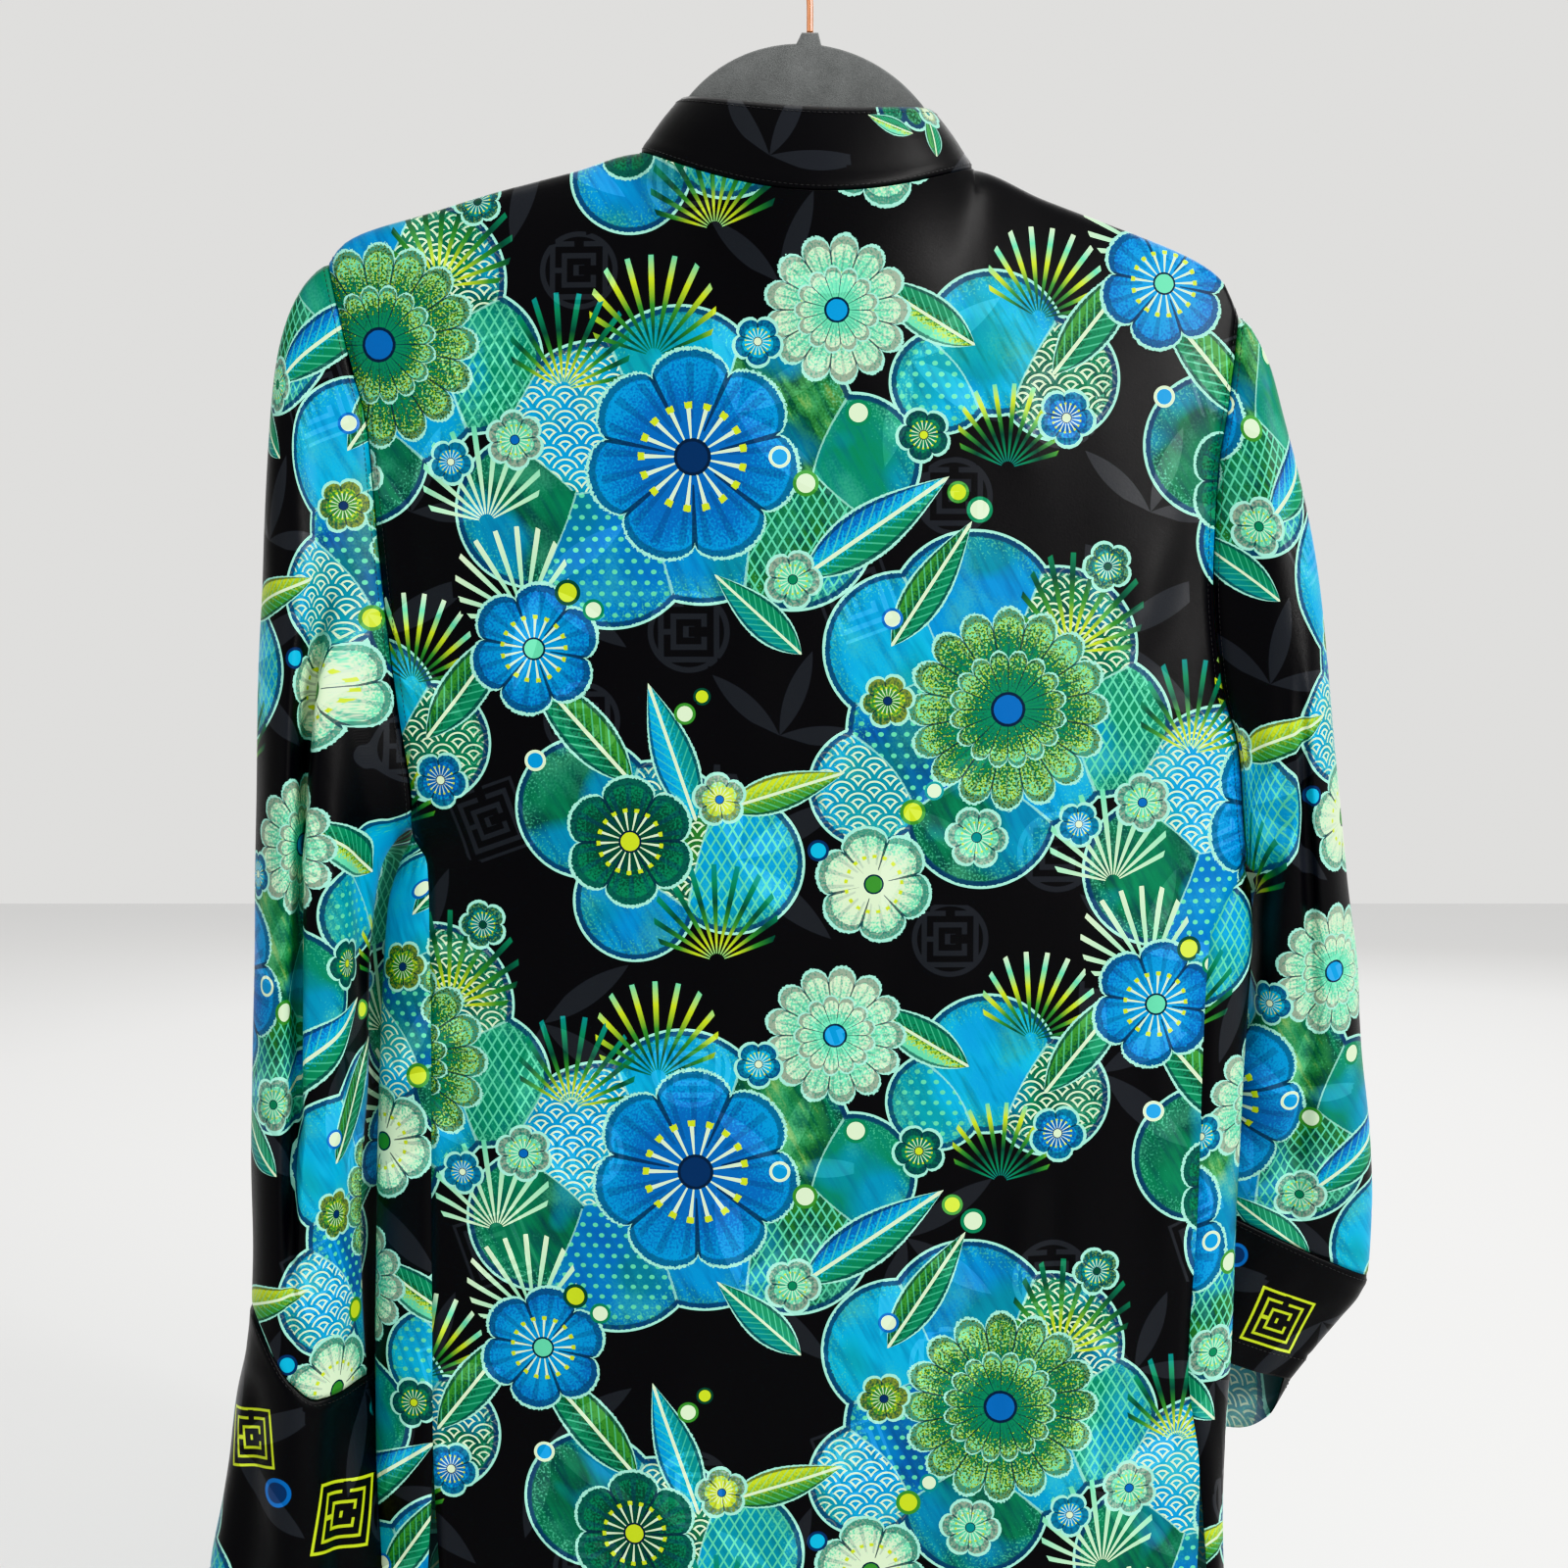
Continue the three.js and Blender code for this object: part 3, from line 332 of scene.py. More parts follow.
@dataclass
class PanelForm:
    """Works out the grid of a body panel."""

    form: Form
    face: int
    side: int = 0
    shoulder_steps: int = 40
    neck_steps: int = 54
    spread_level: float = 0.2

    def columns(self) -> Columns:
        """The panel's columns, from its left or armhole edge to its other edge."""
        form = self.form
        last = 90.0
        left, right = [
            np.linspace(tip[0], form.neck_x + side * form.neck.half_width, self.shoulder_steps)[:-1]
            for side, tip in ((LEFT, form.shoulder[0]), (RIGHT, form.shoulder[-1]))
        ]
        if self.face == BACK:
            angles = np.linspace(-last, last, 2 * self.neck_steps + 1)
            groups = [(left, "shoulder"), (angles, "neck"), (right[::-1], "shoulder")]
        else:
            start = left if self.side < 0 else right
            angles = np.concatenate([np.linspace(last, 0, self.neck_steps), [-2.2, -4.4, -6.6, -8.6]])
            groups = [(start, "shoulder"), (self.side * angles, "neck")]
        parts = []
        for values, kind in groups:
            if kind == "shoulder":
                flat = 0 * values
                parts.append(np.stack([values, form.shoulder_line(values), flat, flat + 1], axis=1))
            else:
                around = values if self.face == BACK else 180.0 - values
                points = form.neck_points(form.neck, around)
                ridge = ease((np.abs(values) - 66.0) / 24.0)
                parts.append(np.stack([points[:, 0], points[:, 2], np.abs(points[:, 1]), ridge], axis=1))
        table = np.concatenate(parts)
        x = table[:, 0]
        side = np.where(x < 0, LEFT, RIGHT) if self.face == BACK else np.full(len(x), self.side)
        start = -form.front_overlap if self.face == FRONT else 0.0
        share = []
        for place, way in zip(x, side):
            length = form.section_length(way, self.face, 0.0, place, False) * (np.sign(place * way) or 1.0)
            share.append(min(1.0, (length - start) / (form.edge_length(way, self.face, 0.0) - start)))
        run = running(norm(np.diff(table[:, :3], axis=0), axis=1))
        middle = np.interp(0.0, x, run) if self.face == BACK else run[-1]
        even = np.zeros(len(x))
        for way in (LEFT, RIGHT):
            mine = side == way
            if mine.any():
                even[mine] = np.abs(run[mine] - middle) / np.abs(run[mine] - middle).max()
        return Columns(x, table[:, 1], table[:, 2], table[:, 3], np.array(share), side, even)

    def points(self, columns: Columns, levels: ndarray) -> tuple[ndarray, ndarray]:
        """The panel's points and their length from the middle of the face, a row for each level."""
        form, face = self.form, self.face
        start = -form.front_overlap if face == FRONT else 0.0
        left, right = form.shoulder[0], form.shoulder[-1]
        tip_z = left[1] + (right[1] - left[1]) * (columns.x - left[0]) / (right[0] - left[0])
        hem_z = form.hem_z - form.hem_tilt * columns.x
        folds = form.front_folds if face == FRONT else form.back_folds
        rows, lengths = [], []
        even = columns.share if columns.even is None else columns.even
        for level in levels:
            spread = columns.share + (even - columns.share) * ease(level / self.spread_level)
            x, y = np.zeros(len(columns.x)), np.zeros(len(columns.x))
            length = np.zeros(len(columns.x))
            for side in (LEFT, RIGHT):
                mine = columns.side == side
                if not mine.any():
                    continue
                length[mine] = start + spread[mine] * (form.edge_length(side, face, level) - start)
                for way in (side, -side):
                    chosen = mine & ((length >= 0) if way == side else (length < 0))
                    xs, ys, reach = form.section(way, face, level)
                    x[chosen] = np.interp(np.abs(length[chosen]), reach, xs)
                    y[chosen] = np.interp(np.abs(length[chosen]), reach, ys)
            z = tip_z + (hem_z - tip_z) * level + (columns.top_z - tip_z) * (1 - ease(level / form.underarm))
            drop = np.maximum(columns.top_z - z, 0.0)
            depth = face * y
            radius = form.ridge_radius * columns.ridge
            crown = np.sqrt(1 - (1 - np.minimum(1, drop / form.ridge_radius)) ** 2)
            fall = form.neck_fall + (form.ridge_fall - form.neck_fall) * columns.ridge
            settle = 1 - np.exp(-drop / fall)
            y = columns.top_y + radius * crown + (depth - columns.top_y - radius) * settle
            inward = np.zeros_like(x)
            for fold in folds:
                grown = ease((level - fold.start) / (1 - fold.start))
                inward += fold.depth * bump(x - fold.x, fold.half_width) * grown
            inward *= ease((depth - 4.0) / 14.0)
            if face == FRONT and self.side == LEFT:
                inward += form.front_tuck * (1 - ease((length - form.front_overlap) / 30.0))
            rows.append(np.stack([x, face * (y - inward), z], axis=1))
            lengths.append(length * columns.side)
        return np.array(rows), np.array(lengths)


@dataclass
class Sheet:
    """A grid of cloth: outer points, pattern coordinates across and down, and whether it is a tube."""

    points: ndarray
    across: ndarray
    down: ndarray
    tube: bool
    outward: ndarray

    def normals(self) -> ndarray:
        """The unit normals of the grid, on the outer side."""
        points = self.points
        if self.tube:
            side = np.roll(points, -1, axis=1) - np.roll(points, 1, axis=1)
        else:
            side = np.gradient(points, axis=1)
        normal = np.cross(side, np.gradient(points, axis=0))
        normal /= np.maximum(norm(normal, axis=2, keepdims=True), 1e-9)
        return normal * (1.0 if np.sum(normal * self.outward) > 0 else -1.0)

    def lift(self, height: ndarray) -> None:
        """Moves the points along their normals by a height in millimetres."""
        self.points = self.points + self.normals() * height[..., None]


@dataclass
class ClothMesh:
    """Turns a sheet into a thin closed shell with its pattern coordinates as a UV map."""

    name: str
    sheet: Sheet
    wall: float

    def faces(self) -> ndarray:
        """The quads of both sides and the rims, as indices into the outer and then the inner points."""
        rows, columns = self.sheet.points.shape[:2]
        spans = columns if self.sheet.tube else columns - 1
        i, j = np.meshgrid(np.arange(rows - 1), np.arange(spans), indexing="ij")
        near, far = j.ravel(), (j.ravel() + 1) % columns
        above, below = i.ravel() * columns, (i.ravel() + 1) * columns
        inner = rows * columns
        outer = np.stack([above + near, below + near, below + far, above + far], axis=1)
        quads = [outer, outer[:, ::-1] + inner]
        span = np.arange(spans)
        after = (span + 1) % columns
        last = (rows - 1) * columns
        quads.append(np.stack([span, after, after + inner, span + inner], axis=1))
        span, after = span + last, after + last
        quads.append(np.stack([span, span + inner, after + inner, after], axis=1))
        if not self.sheet.tube:
            line = np.arange(rows - 1) * columns
            quads.append(np.stack([line, line + inner, line + columns + inner, line + columns], axis=1))
            end = line + spans
            quads.append(np.stack([end, end + columns, end + columns + inner, end + inner], axis=1))
        return np.concatenate(quads)

    def build(self) -> Object:
        """Makes the object."""
        sheet = self.sheet
        rows, columns = sheet.points.shape[:2]
        normals = sheet.normals()
        outer = sheet.points.reshape(-1, 3)
        inner = (sheet.points - normals * self.wall).reshape(-1, 3)
        quads = self.faces()
        first = quads[: (rows - 1) * (columns if sheet.tube else columns - 1)][len(quads) // 8]
        corner = outer[first]
        facing = np.cross(corner[1] - corner[0], corner[2] - corner[0])
        if np.dot(facing, normals.reshape(-1, 3)[first[0]]) < 0:
            quads = quads[:, ::-1]
        mesh = bpy.data.meshes.new(self.name)
        mesh.from_pydata((np.concatenate([outer, inner]) * MM).tolist(), [], quads.tolist())
        self.add_pattern_map(mesh, quads, rows * columns)
        mesh.polygons.foreach_set("use_smooth", np.ones(len(quads), bool))
        mesh.update()
        return placed(self.name, mesh)

    def add_pattern_map(self, mesh: Mesh, quads: ndarray, inner: int) -> None:
        """Adds the UV map of the pattern coordinates in metres.

        Args:
            mesh: The cloth's mesh.
            quads: Its faces.
            inner: The number of outer points, after which the inner ones start.
        """
        columns = self.sheet.points.shape[1]
        across, down = self.sheet.across.ravel(), self.sheet.down.ravel()
        corner = quads % inner
        u, v = across[corner], -down[corner]
        if self.sheet.tube:
            wrap = (corner % columns == 0) & ((corner % columns).max(axis=1, keepdims=True) == columns - 1)
            row = corner // columns
            step = self.sheet.across[:, -1] - self.sheet.across[:, -2]
            u = np.where(wrap, (self.sheet.across[:, -1] + step)[row], u)
        uv = mesh.uv_layers.new(name="cloth")
        uv.data.foreach_set("uv", (np.stack([u, v], axis=2).ravel() * MM).astype(np.float32))
        inside = (quads >= inner).all(axis=1)
        mark = mesh.attributes.new("reverse", "FLOAT", "FACE")
        mark.data.foreach_set("value", inside.astype(np.float32))


@dataclass(frozen=True)
class Cut:
    """The flat cut of a sheet of cloth, in metres and square metres."""

    width: float
    length: float
    area: float


def hem_band(down_from_edge: ndarray, depth: float) -> ndarray:
    """The lift of a turned hem: a soft step where its inner layer ends.

    Args:
        down_from_edge: Distance of each point from the cloth's lower edge, in millimetres.
        depth: How deep the hem is turned.

    Returns:
        The lift in millimetres.
    """
    step = ease((depth + HEM_STEP_WIDTH / 2.0 - down_from_edge) / HEM_STEP_WIDTH)
    return HEM_STEP * step - HEM_GROOVE * bump(down_from_edge - depth - 1.2, HEM_GROOVE_WIDTH)


def life(across: ndarray, down: ndarray, turn: float, height: float) -> ndarray:
    """The faint unevenness of hanging cloth.

    Args:
        across: Place across the cloth in millimetres.
        down: Place down the cloth in millimetres.
        turn: Shifts the waves, so that no two pieces are alike.
        height: Size of the waves in millimetres.

    Returns:
        The lift in millimetres.
    """
    slow = np.sin(across / 23.0 + 1.3 * np.sin(down / 61.0 + turn) + turn)
    cross = np.sin(across / 13.0 - down / 47.0 + 2.1 * turn) * np.sin(down / 83.0 + 0.7 * turn)
    fine = np.sin(across / 7.1 + down / 31.0 + 3.3 * turn) * np.sin(down / 19.0 - across / 29.0 + turn)
    return height * (0.55 * slow + 0.35 * cross + 0.18 * fine)


@dataclass
class BodyPanels:
    """The back and the two fronts."""

    form: Form
    rows: int = 205
    soft_spread: float = 8.0
    soft_reach: float = 150.0
    hem_depth: float = 22.0
    taut_down: float = 150.0
    slack_over: float = 60.0
    seam_calm: float = 14.0
    unevenness: float = 0.7
    back_creases: tuple[Crease, ...] = table(
        Crease,
        (-196, 236, -150, 420, 9, -1.3, 8), (-172, 250, -128, 372, 12, 1.1, 6),
        (188, 260, 140, 430, 10, -1.2, -8), (164, 300, 128, 400, 9, 0.9, -4),
        (-60, 172, -104, 262, 13, 0.8, 5), (64, 178, 102, 280, 12, 0.8, -5),
        (-20, 330, -34, 560, 20, 0.9, 6), (38, 420, 30, 640, 18, -0.9, -6), (104, 610, 98, 745, 6, 1.3, 3),
        (118, 600, 122, 770, 8, -1.5, 2), (132, 640, 128, 800, 6, 1.0, -3),
        (-112, 560, -106, 800, 14, -1.4, 5), (-150, 470, -158, 700, 11, 1.2, -5),
        (-176, 520, -170, 812, 7, -1.2, 4), (168, 470, 176, 660, 8, 1.3, 4),
        (182, 560, 180, 840, 6, -1.5, -3), (-70, 700, -60, 872, 16, 1.8, 4), (52, 690, 58, 876, 17, -1.7, 5),
        (4, 740, -6, 876, 13, 1.5, 4), (-186, 438, -120, 470, 8, -0.8, 4), (196, 462, 138, 486, 8, -0.8, -4),
        (84, 500, 40, 520, 10, 0.5, 3),
    )
    front_creases: tuple[Crease, ...] = table(
        Crease,
        (34, 236, 96, 300, 11, 1.0, 6), (26, 330, 84, 352, 8, -0.9, 4), (24, 420, 70, 446, 8, 0.9, -4),
        (22, 520, 78, 548, 9, -0.9, 4), (150, 250, 118, 420, 11, -1.3, -7), (128, 300, 104, 380, 9, 1.0, 4),
        (60, 560, 66, 780, 13, 1.4, 4), (100, 520, 92, 760, 11, -1.5, -5), (140, 500, 146, 800, 10, 1.5, 5),
        (176, 540, 170, 820, 9, -1.2, 4), (118, 700, 122, 872, 12, 1.6, 4), (40, 720, 34, 874, 12, -1.3, 3),
        (186, 440, 130, 476, 9, -0.9, 5), (206, 600, 210, 830, 8, 1.0, -3),
    )

    def levels(self) -> ndarray:
        """The levels of the rows, closer on the shoulder ridge."""
        ridge = 0.014 * (np.arange(8) / 8.0) ** 2
        return np.concatenate([ridge, np.linspace(0.014, 1.0, self.rows - 8)])

    def sheet(self, face: int, side: int) -> Sheet:
        """The cloth of one panel.

        Args:
            face: BACK or FRONT.
            side: LEFT or RIGHT for a front, 0 for the back.

        Returns:
            The panel's cloth with its folds and hem.
        """
        panel = PanelForm(self.form, face, side)
        points, across = panel.points(panel.columns(), self.levels())
        down = -points[..., 2]
        points[..., 1] = self.soften(points, self.from_sides(across, face))
        outward = np.stack([points[..., 0] / 400.0, np.full_like(down, face), 0 * down + 0.05], axis=2)
        outward[:3, :, 2] = 2.0
        sheet = Sheet(points, across, down, False, outward)
        creases = self.back_creases if face == BACK else self.front_creases
        settled = ease((down - self.taut_down) / self.slack_over)
        reach = across if face == BACK else np.abs(across)
        lift = crease_relief(creases, reach, down)
        lift += life(across, down, 1.0 + face + 2.0 * side, self.unevenness)
        if face == FRONT:
            sheet.across = -across
        edge = points[-1:, :, 2] * -1.0 - down
        settled *= ease(self.from_sides(across, face) / self.seam_calm)
        sheet.lift(lift * settled + hem_band(edge, self.hem_depth))
        return sheet

    def soften(self, points: ndarray, inside: ndarray) -> ndarray:
        """The depth of a panel with the pull of the neck's corners spread over the cloth.

        Args:
            points: The panel's points.
            inside: Their distance from the panel's side edges.

        Returns:
            The smoother depth, the same along the edges.
        """
        form = self.form
        step, depth = 1.5, points[..., 1].copy()
        offsets = np.arange(-4 * self.soft_spread, 4 * self.soft_spread + step, step)
        weights = bump(offsets, self.soft_spread)
        half = len(offsets) // 2
        for row in range(points.shape[0]):
            near = np.flatnonzero(np.abs(points[row, :, 0] - form.neck_x) < self.soft_reach)
            near = near[np.argsort(points[row, near, 0])]
            x, y = points[row, near, 0], points[row, near, 1]
            line = np.arange(x[0], x[-1] + step, step)
            padded = np.pad(np.interp(line, x, y), half, mode="edge")
            smooth = np.convolve(padded, weights / weights.sum(), mode="valid")
            corner = bump(np.abs(x - form.neck_x) - form.neck.half_width, 24.0)
            fallen = ease((points[0, near, 2] - points[row, near, 2] + 3.0) / 14.0)
            share = corner * fallen * ease(inside[row, near] / 30.0)
            depth[row, near] = y + (np.interp(x, line, smooth[: len(line)]) - y) * share
        return depth

    def from_sides(self, across: ndarray, face: int) -> ndarray:
        """The distance of each point from the panel's side edges."""
        right = across[:, -1:] - across
        left = across - across[:, :1]
        if face == BACK:
            return np.minimum(left, right)
        return np.maximum(np.abs(across[:, :1]) - np.abs(across), 0.0)


@dataclass
class CollarForm:
    """The band collar."""

    form: Form
    end: float = 175.0
    rounding: float = 12.0
    end_height: float = 0.55
    wall: float = 1.3
    columns: int = 190
    rows: int = 18

    def sheet(self) -> Sheet:
        """The collar's cloth, from its left front end round the back to its right front end."""
        form = self.form
        angles = np.linspace(-self.end, self.end, self.columns)
        base = form.neck_points(form.neck, angles)
        top = form.neck_points(form.collar_top, angles)
        to_end = np.clip((self.end - np.abs(angles)) / self.rounding, 0.0, 1.0)
        height = self.end_height + (1 - self.end_height) * np.sqrt(1 - (1 - to_end) ** 2)
        share = np.linspace(1.0, 0.0, self.rows)[:, None] * height[None, :]
        points = base[None] + (top - base)[None] * share[..., None]
        outward = points - np.array([form.neck_x, 0.0, 0.0])
        outward[..., 2] = 0.0
        middle = points[self.rows // 2]
        around = running(norm(np.diff(middle, axis=0), axis=1))
        across = np.broadcast_to(around - around.max() / 2, points.shape[:2]).copy()
        tall = norm(top - base, axis=1)
        down = -share * tall[None, :]
        sheet = Sheet(points, across, down, False, outward)
        above = share * tall[None, :]
        belly = 0.9 * np.sin(math.pi * np.clip(share, 0, 1))
        seam = -0.8 * bump(above, 1.6) + 0.35 * bump(above - 4.0, 2.6)
        rim = -0.5 * bump(tall[None, :] * height[None, :] - above, 1.4)
        sheet.lift(belly + seam + rim + life(across, down * 2.0, 4.0, 0.35))
        return sheet


SLEEVE_LEFT = table(
    Ring,
    (-224.35, -178.6, -190.35, -444.6, 0, 18, 1, 0, 0), (-236, -188, -195, -445, 0, 22, 0.8, 0, 0),
    (-245, -205, -199, -447, 0, 26, 0.55, 2, 0), (-251, -232, -202.5, -451, 0, 30, 0.32, 7, 0),
    (-254.5, -268, -205.5, -456, 0, 33, 0.14, 10, 1), (-257, -312, -208.5, -463, 0, 35, 0, 11, 2),
    (-259.5, -358, -211, -474, 0, 36, 0, 11, 3), (-261, -404, -213, -489, 0, 36, 0, 11, 3),
    (-262.5, -450, -215, -509, 0, 36, 0, 11, 3), (-264.5, -498, -216, -536, 0, 36, 0, 10, 2),
    (-266.5, -548, -217, -570, 0, 36, 0, 9, 2), (-268, -598, -221, -612, 0, 36, 0, 6, 1),
    (-269, -642, -222, -664, 0, 36, 0, 2, 0), (-271, -676, -221, -716, 0, 36, 0, 0, 0),
)
SLEEVE_RIGHT = table(
    Ring,
    (200.35, -202.6, 209.35, -460.6, 0, 18, 1, 0, 0), (207, -209, 212, -461.5, 0, 22, 0.8, 0, 0),
    (214, -222, 214.5, -463, 0, 26, 0.55, 0, 0), (222, -248, 217, -465, 1, 30, 0.32, 0, 0),
    (231, -282, 219, -468, 2, 32, 0.14, 0, 0), (239, -326, 219, -472, 4, 34, 0, 2, 0),
    (245.5, -378, 218, -479, 7, 35, 0, 3, 1), (252, -424, 217, -490, 10, 35, 0, 3, 1),
    (259, -468, 216, -505, 14, 34, 0, 3, 1), (267.5, -514, 213.5, -528, 19, 32, 0, 3, 1),
    (274, -560, 209, -557, 26, 29, 0, 3, 1), (281, -604, 202, -586, 34, 25, 0, 3, 2),
    (285, -642, 197, -611, 41, 20, 0, 2, 1), (286, -680, 192, -635.5, 46, 17, 0, 0, 0),
)
CUFF_LEFT = table(
    Ring,
    (-271, -676, -221, -716, 0, 36, 0, 0, 0, 0, 0), (-275, -708, -219.5, -738, 0, 36, 0, 0, 0, 4, 0.8),
    (-280, -740, -217.5, -762, 0, 37, 0, 0, 0, 8, 1.6), (-285, -770, -216.5, -786, 0, 38, 0, 0, 0, 12, 2.4),
    (-289.5, -798, -216, -806, 0, 39, 0, 0, 0, 17, 3), (-293, -822, -215.5, -824, 0, 40, 0, 0, 0, 22, 3.5),
)
CUFF_RIGHT = table(
    Ring,
    (286, -680, 192, -635.5, 46, 17, 0, 0, 0, 0, 0), (281.5, -691, 183, -647, 47, 17.5, 0, 0, 0, 8, 0.3),
    (273, -702, 173, -659, 47.5, 18, 0, 0, 0, 18, 0.7), (264.5, -713, 162, -670, 48, 18.5, 0, 0, 0, 28, 1),
    (256, -724, 151, -681, 48.5, 19, 0, 0, 0, 38, 1.3), (248, -735, 140, -691, 49, 19.5, 0, 0, 0, 47, 1.6),
)


@dataclass
class SleeveForm:
    """A sleeve and its cuff."""

    form: Form
    side: int
    rings: tuple[Ring, ...]
    cuff_rings: tuple[Ring, ...]
    creases: tuple[Crease, ...]
    cuff_creases: tuple[Crease, ...]
    columns: int = 160
    sleeve_rows: int = 150
    cuff_rows: int = 56
    power: float = 0.88
    groove_angle: float = 89.0
    groove_spread: float = 5.6
    groove_gain: float = 1.6
    pipe_angle: float = 122.0
    pipe_spread: float = 22.0
    seam_start: float = 30.0
    seam_end: float = 115.0
    seam_rings: float = 3.0
    cuff_slant_rings: float = 4.0
    flutes: int = 5
    flute_turn: float = 40.0
    hem_depth: float = 14.0
    lean_angle: float = 212.0
    lean_spread: float = 26.0
    lean_depths: tuple[tuple[float, float], ...] = (
        (0, 0), (424, 0), (442, 13), (456, 17), (490, 16), (680, 16), (760, 22), (860, 24),
    )
    armhole: tuple[tuple[float, float], ...] = (
        (0, 0), (18, 0.03), (36, 0.065), (54, 0.11), (72, 0.155), (90, 0.2), (108, 0.25), (126, 0.3),
        (144, 0.335), (162, 0.36), (180, 0.38),
    )

    def angles(self) -> ndarray:
        """The columns' angles, from the inner point over the front and the outer point to the back."""
        return (180.0 + 360.0 * np.arange(self.columns) / self.columns) % 360.0

    def armhole_loop(self, angles: ndarray) -> ndarray:
        """The armhole's edge at each angle, 0 at the shoulder, 90 at the back and 180 at the underarm."""
        form = self.form
        tip = np.array([form.shoulder[0] if self.side < 0 else form.shoulder[-1]], float)
        zero = np.zeros(1)
        column = Columns(tip[:, 0], tip[:, 1], zero, zero + 1, zero + 1, np.array([self.side]))
        level_at = Profile(*np.array(self.armhole).T)
        levels = level_at(np.minimum(angles, 360.0 - angles))
        back = PanelForm(form, BACK).points(column, levels)[0][:, 0]
        front = PanelForm(form, FRONT, self.side).points(column, levels)[0][:, 0]
        return np.where((angles <= 180.0)[:, None], back, front)

    def bowed(self, share: ndarray) -> ndarray:
        """A sine or cosine, flattened to the ring's section."""
        return np.sign(share) * np.abs(share) ** self.power

    def ring_values(self, rings: tuple[Ring, ...], place: ndarray) -> Ring:
        """The rings' values at fractional places along them, as columns."""
        table = Profile(np.arange(len(rings)), np.array(rings, float))(place)
        return Ring(*table.T[..., None])

    def ring_points(self, ring: Ring, angles: ndarray) -> ndarray:
        """The points of plain rings."""
        turn = np.radians(angles)[None, :]
        share = (1.0 - self.bowed(np.cos(turn))) / 2.0
        x = ring.out_x + (ring.in_x - ring.out_x) * share
        z = ring.out_z + (ring.in_z - ring.out_z) * share
        return np.stack([x, ring.mid_y - ring.depth * self.bowed(np.sin(turn)), z], axis=2)

    def seam_shift(self, ring: Ring, angles: ndarray) -> ndarray:
        """How far the left cuff seam, level at the outside, lies below or above a plain ring."""
        if self.side > 0:
            return np.zeros((len(ring.out_z), len(angles)))
        around = np.minimum(angles, 360.0 - angles)
        plain = (1.0 - self.bowed(np.cos(np.radians(around)))) / 2.0
        share = ease((around - self.seam_start) / (self.seam_end - self.seam_start)) - plain
        return share[None, :] * (ring.in_z - ring.out_z)

    def middles(self, ring: Ring) -> ndarray:
        """The middles of rings."""
        return np.stack([(ring.out_x + ring.in_x) / 2, ring.mid_y, (ring.out_z + ring.in_z) / 2], axis=2)

    def pressed(self, points: ndarray, ring: Ring, depth: ndarray, slant: ndarray) -> ndarray:
        """Rings after their folds, the slant of the cuff seam and the press towards the body.

        Args:
            points: The rings' points.
            ring: The rings' values.
            depth: How far each point goes in.
            slant: The share of the seam's slant in each row.

        Returns:
            The points.
        """
        angles = self.angles()
        inward = self.middles(ring) - points
        inward[..., 2] = 0.0
        inward /= np.maximum(norm(inward, axis=2, keepdims=True), 1e-6)
        points = points + inward * depth[..., None]
        points[..., 2] += slant[:, None] * self.seam_shift(ring, angles)
        lean = -self.side * bump(angles - self.lean_angle, self.lean_spread)[None, :]
        points[..., 0] += lean * Profile(*np.array(self.lean_depths, float).T)(-points[..., 2])
        return points

    def sleeve_points(self, place: ndarray) -> ndarray:
        """The sleeve's points at places along its rings."""
        angles = self.angles()
        ring = self.ring_values(self.rings, place)
        first = self.ring_values(self.rings, np.zeros(1))
        strays = self.armhole_loop(angles)[None] - self.ring_points(first, angles)
        points = self.ring_points(ring, angles) + strays * ring.follow[..., None]
        fold = ring.groove * self.groove_gain * bump(angles - self.groove_angle, self.groove_spread)[None, :]
        pipe = ring.pipe * bump(angles - self.pipe_angle, self.pipe_spread)[None, :]
        slant = ease((place - (len(self.rings) - 1)) / self.seam_rings + 1.0)
        return self.pressed(points, ring, fold - pipe, slant)

    def cuff_points(self, place: ndarray) -> ndarray:
        """The cuff's points at places along its rings."""
        angles = self.angles()
        ring = self.ring_values(self.cuff_rings, place)
        points = self.ring_points(ring, angles)
        far = np.maximum(0.0, -np.sin(np.radians(angles)))[None, :]
        points[..., 2] -= ring.drop * ease(far)
        wave = np.cos(np.radians(self.flutes * angles + self.flute_turn))[None, :]
        return self.pressed(points, ring, ring.flute * wave, 1.0 - ease(place / self.cuff_slant_rings))

    def tube(
        self, rings: tuple[Ring, ...], rows: int, loops: Callable[[ndarray], ndarray],
        grain: Optional[tuple[float, float, float]] = None,
    ) -> tuple[Sheet, ndarray, ndarray, ndarray]:
        """A tube of cloth on evenly spaced rings, with pattern coordinates along and round its grain.

        Args:
            rings: The rings that it follows.
            rows: Number of its rows.
            loops: Gives the points at places along the rings.
            grain: The direction down the cloth, or nothing for its middle line's.

        Returns:
            The cloth, each row's share down it, and each point's distance from its first and last row.
        """
        coarse = np.linspace(0, len(rings) - 1, 8 * len(rings))
        run = running(norm(np.diff(loops(coarse), axis=0), axis=2).mean(axis=1))
        place = np.interp(np.linspace(0, run[-1], rows), run, coarse)
        points, middles = loops(place), self.middles(self.ring_values(rings, place))
        grain = (middles[-1] - middles[0])[0] if grain is None else np.array(grain)
        grain = grain / norm(grain)
        down = points @ grain
        flat = points - down[..., None] * grain
        steps = norm(np.roll(flat, -1, axis=1) - flat, axis=2)
        around = np.concatenate([np.zeros((rows, 1)), np.cumsum(steps, axis=1)[:, :-1]], axis=1)
        back = int(self.columns * 0.75)
        drift = flat[:, [back], 0] - flat[:1, [back], 0]
        across = drift - self.side * (around - around[:, [back]])
        ends = [norm(points - end, axis=2) for end in (points[:1], points[-1:])]
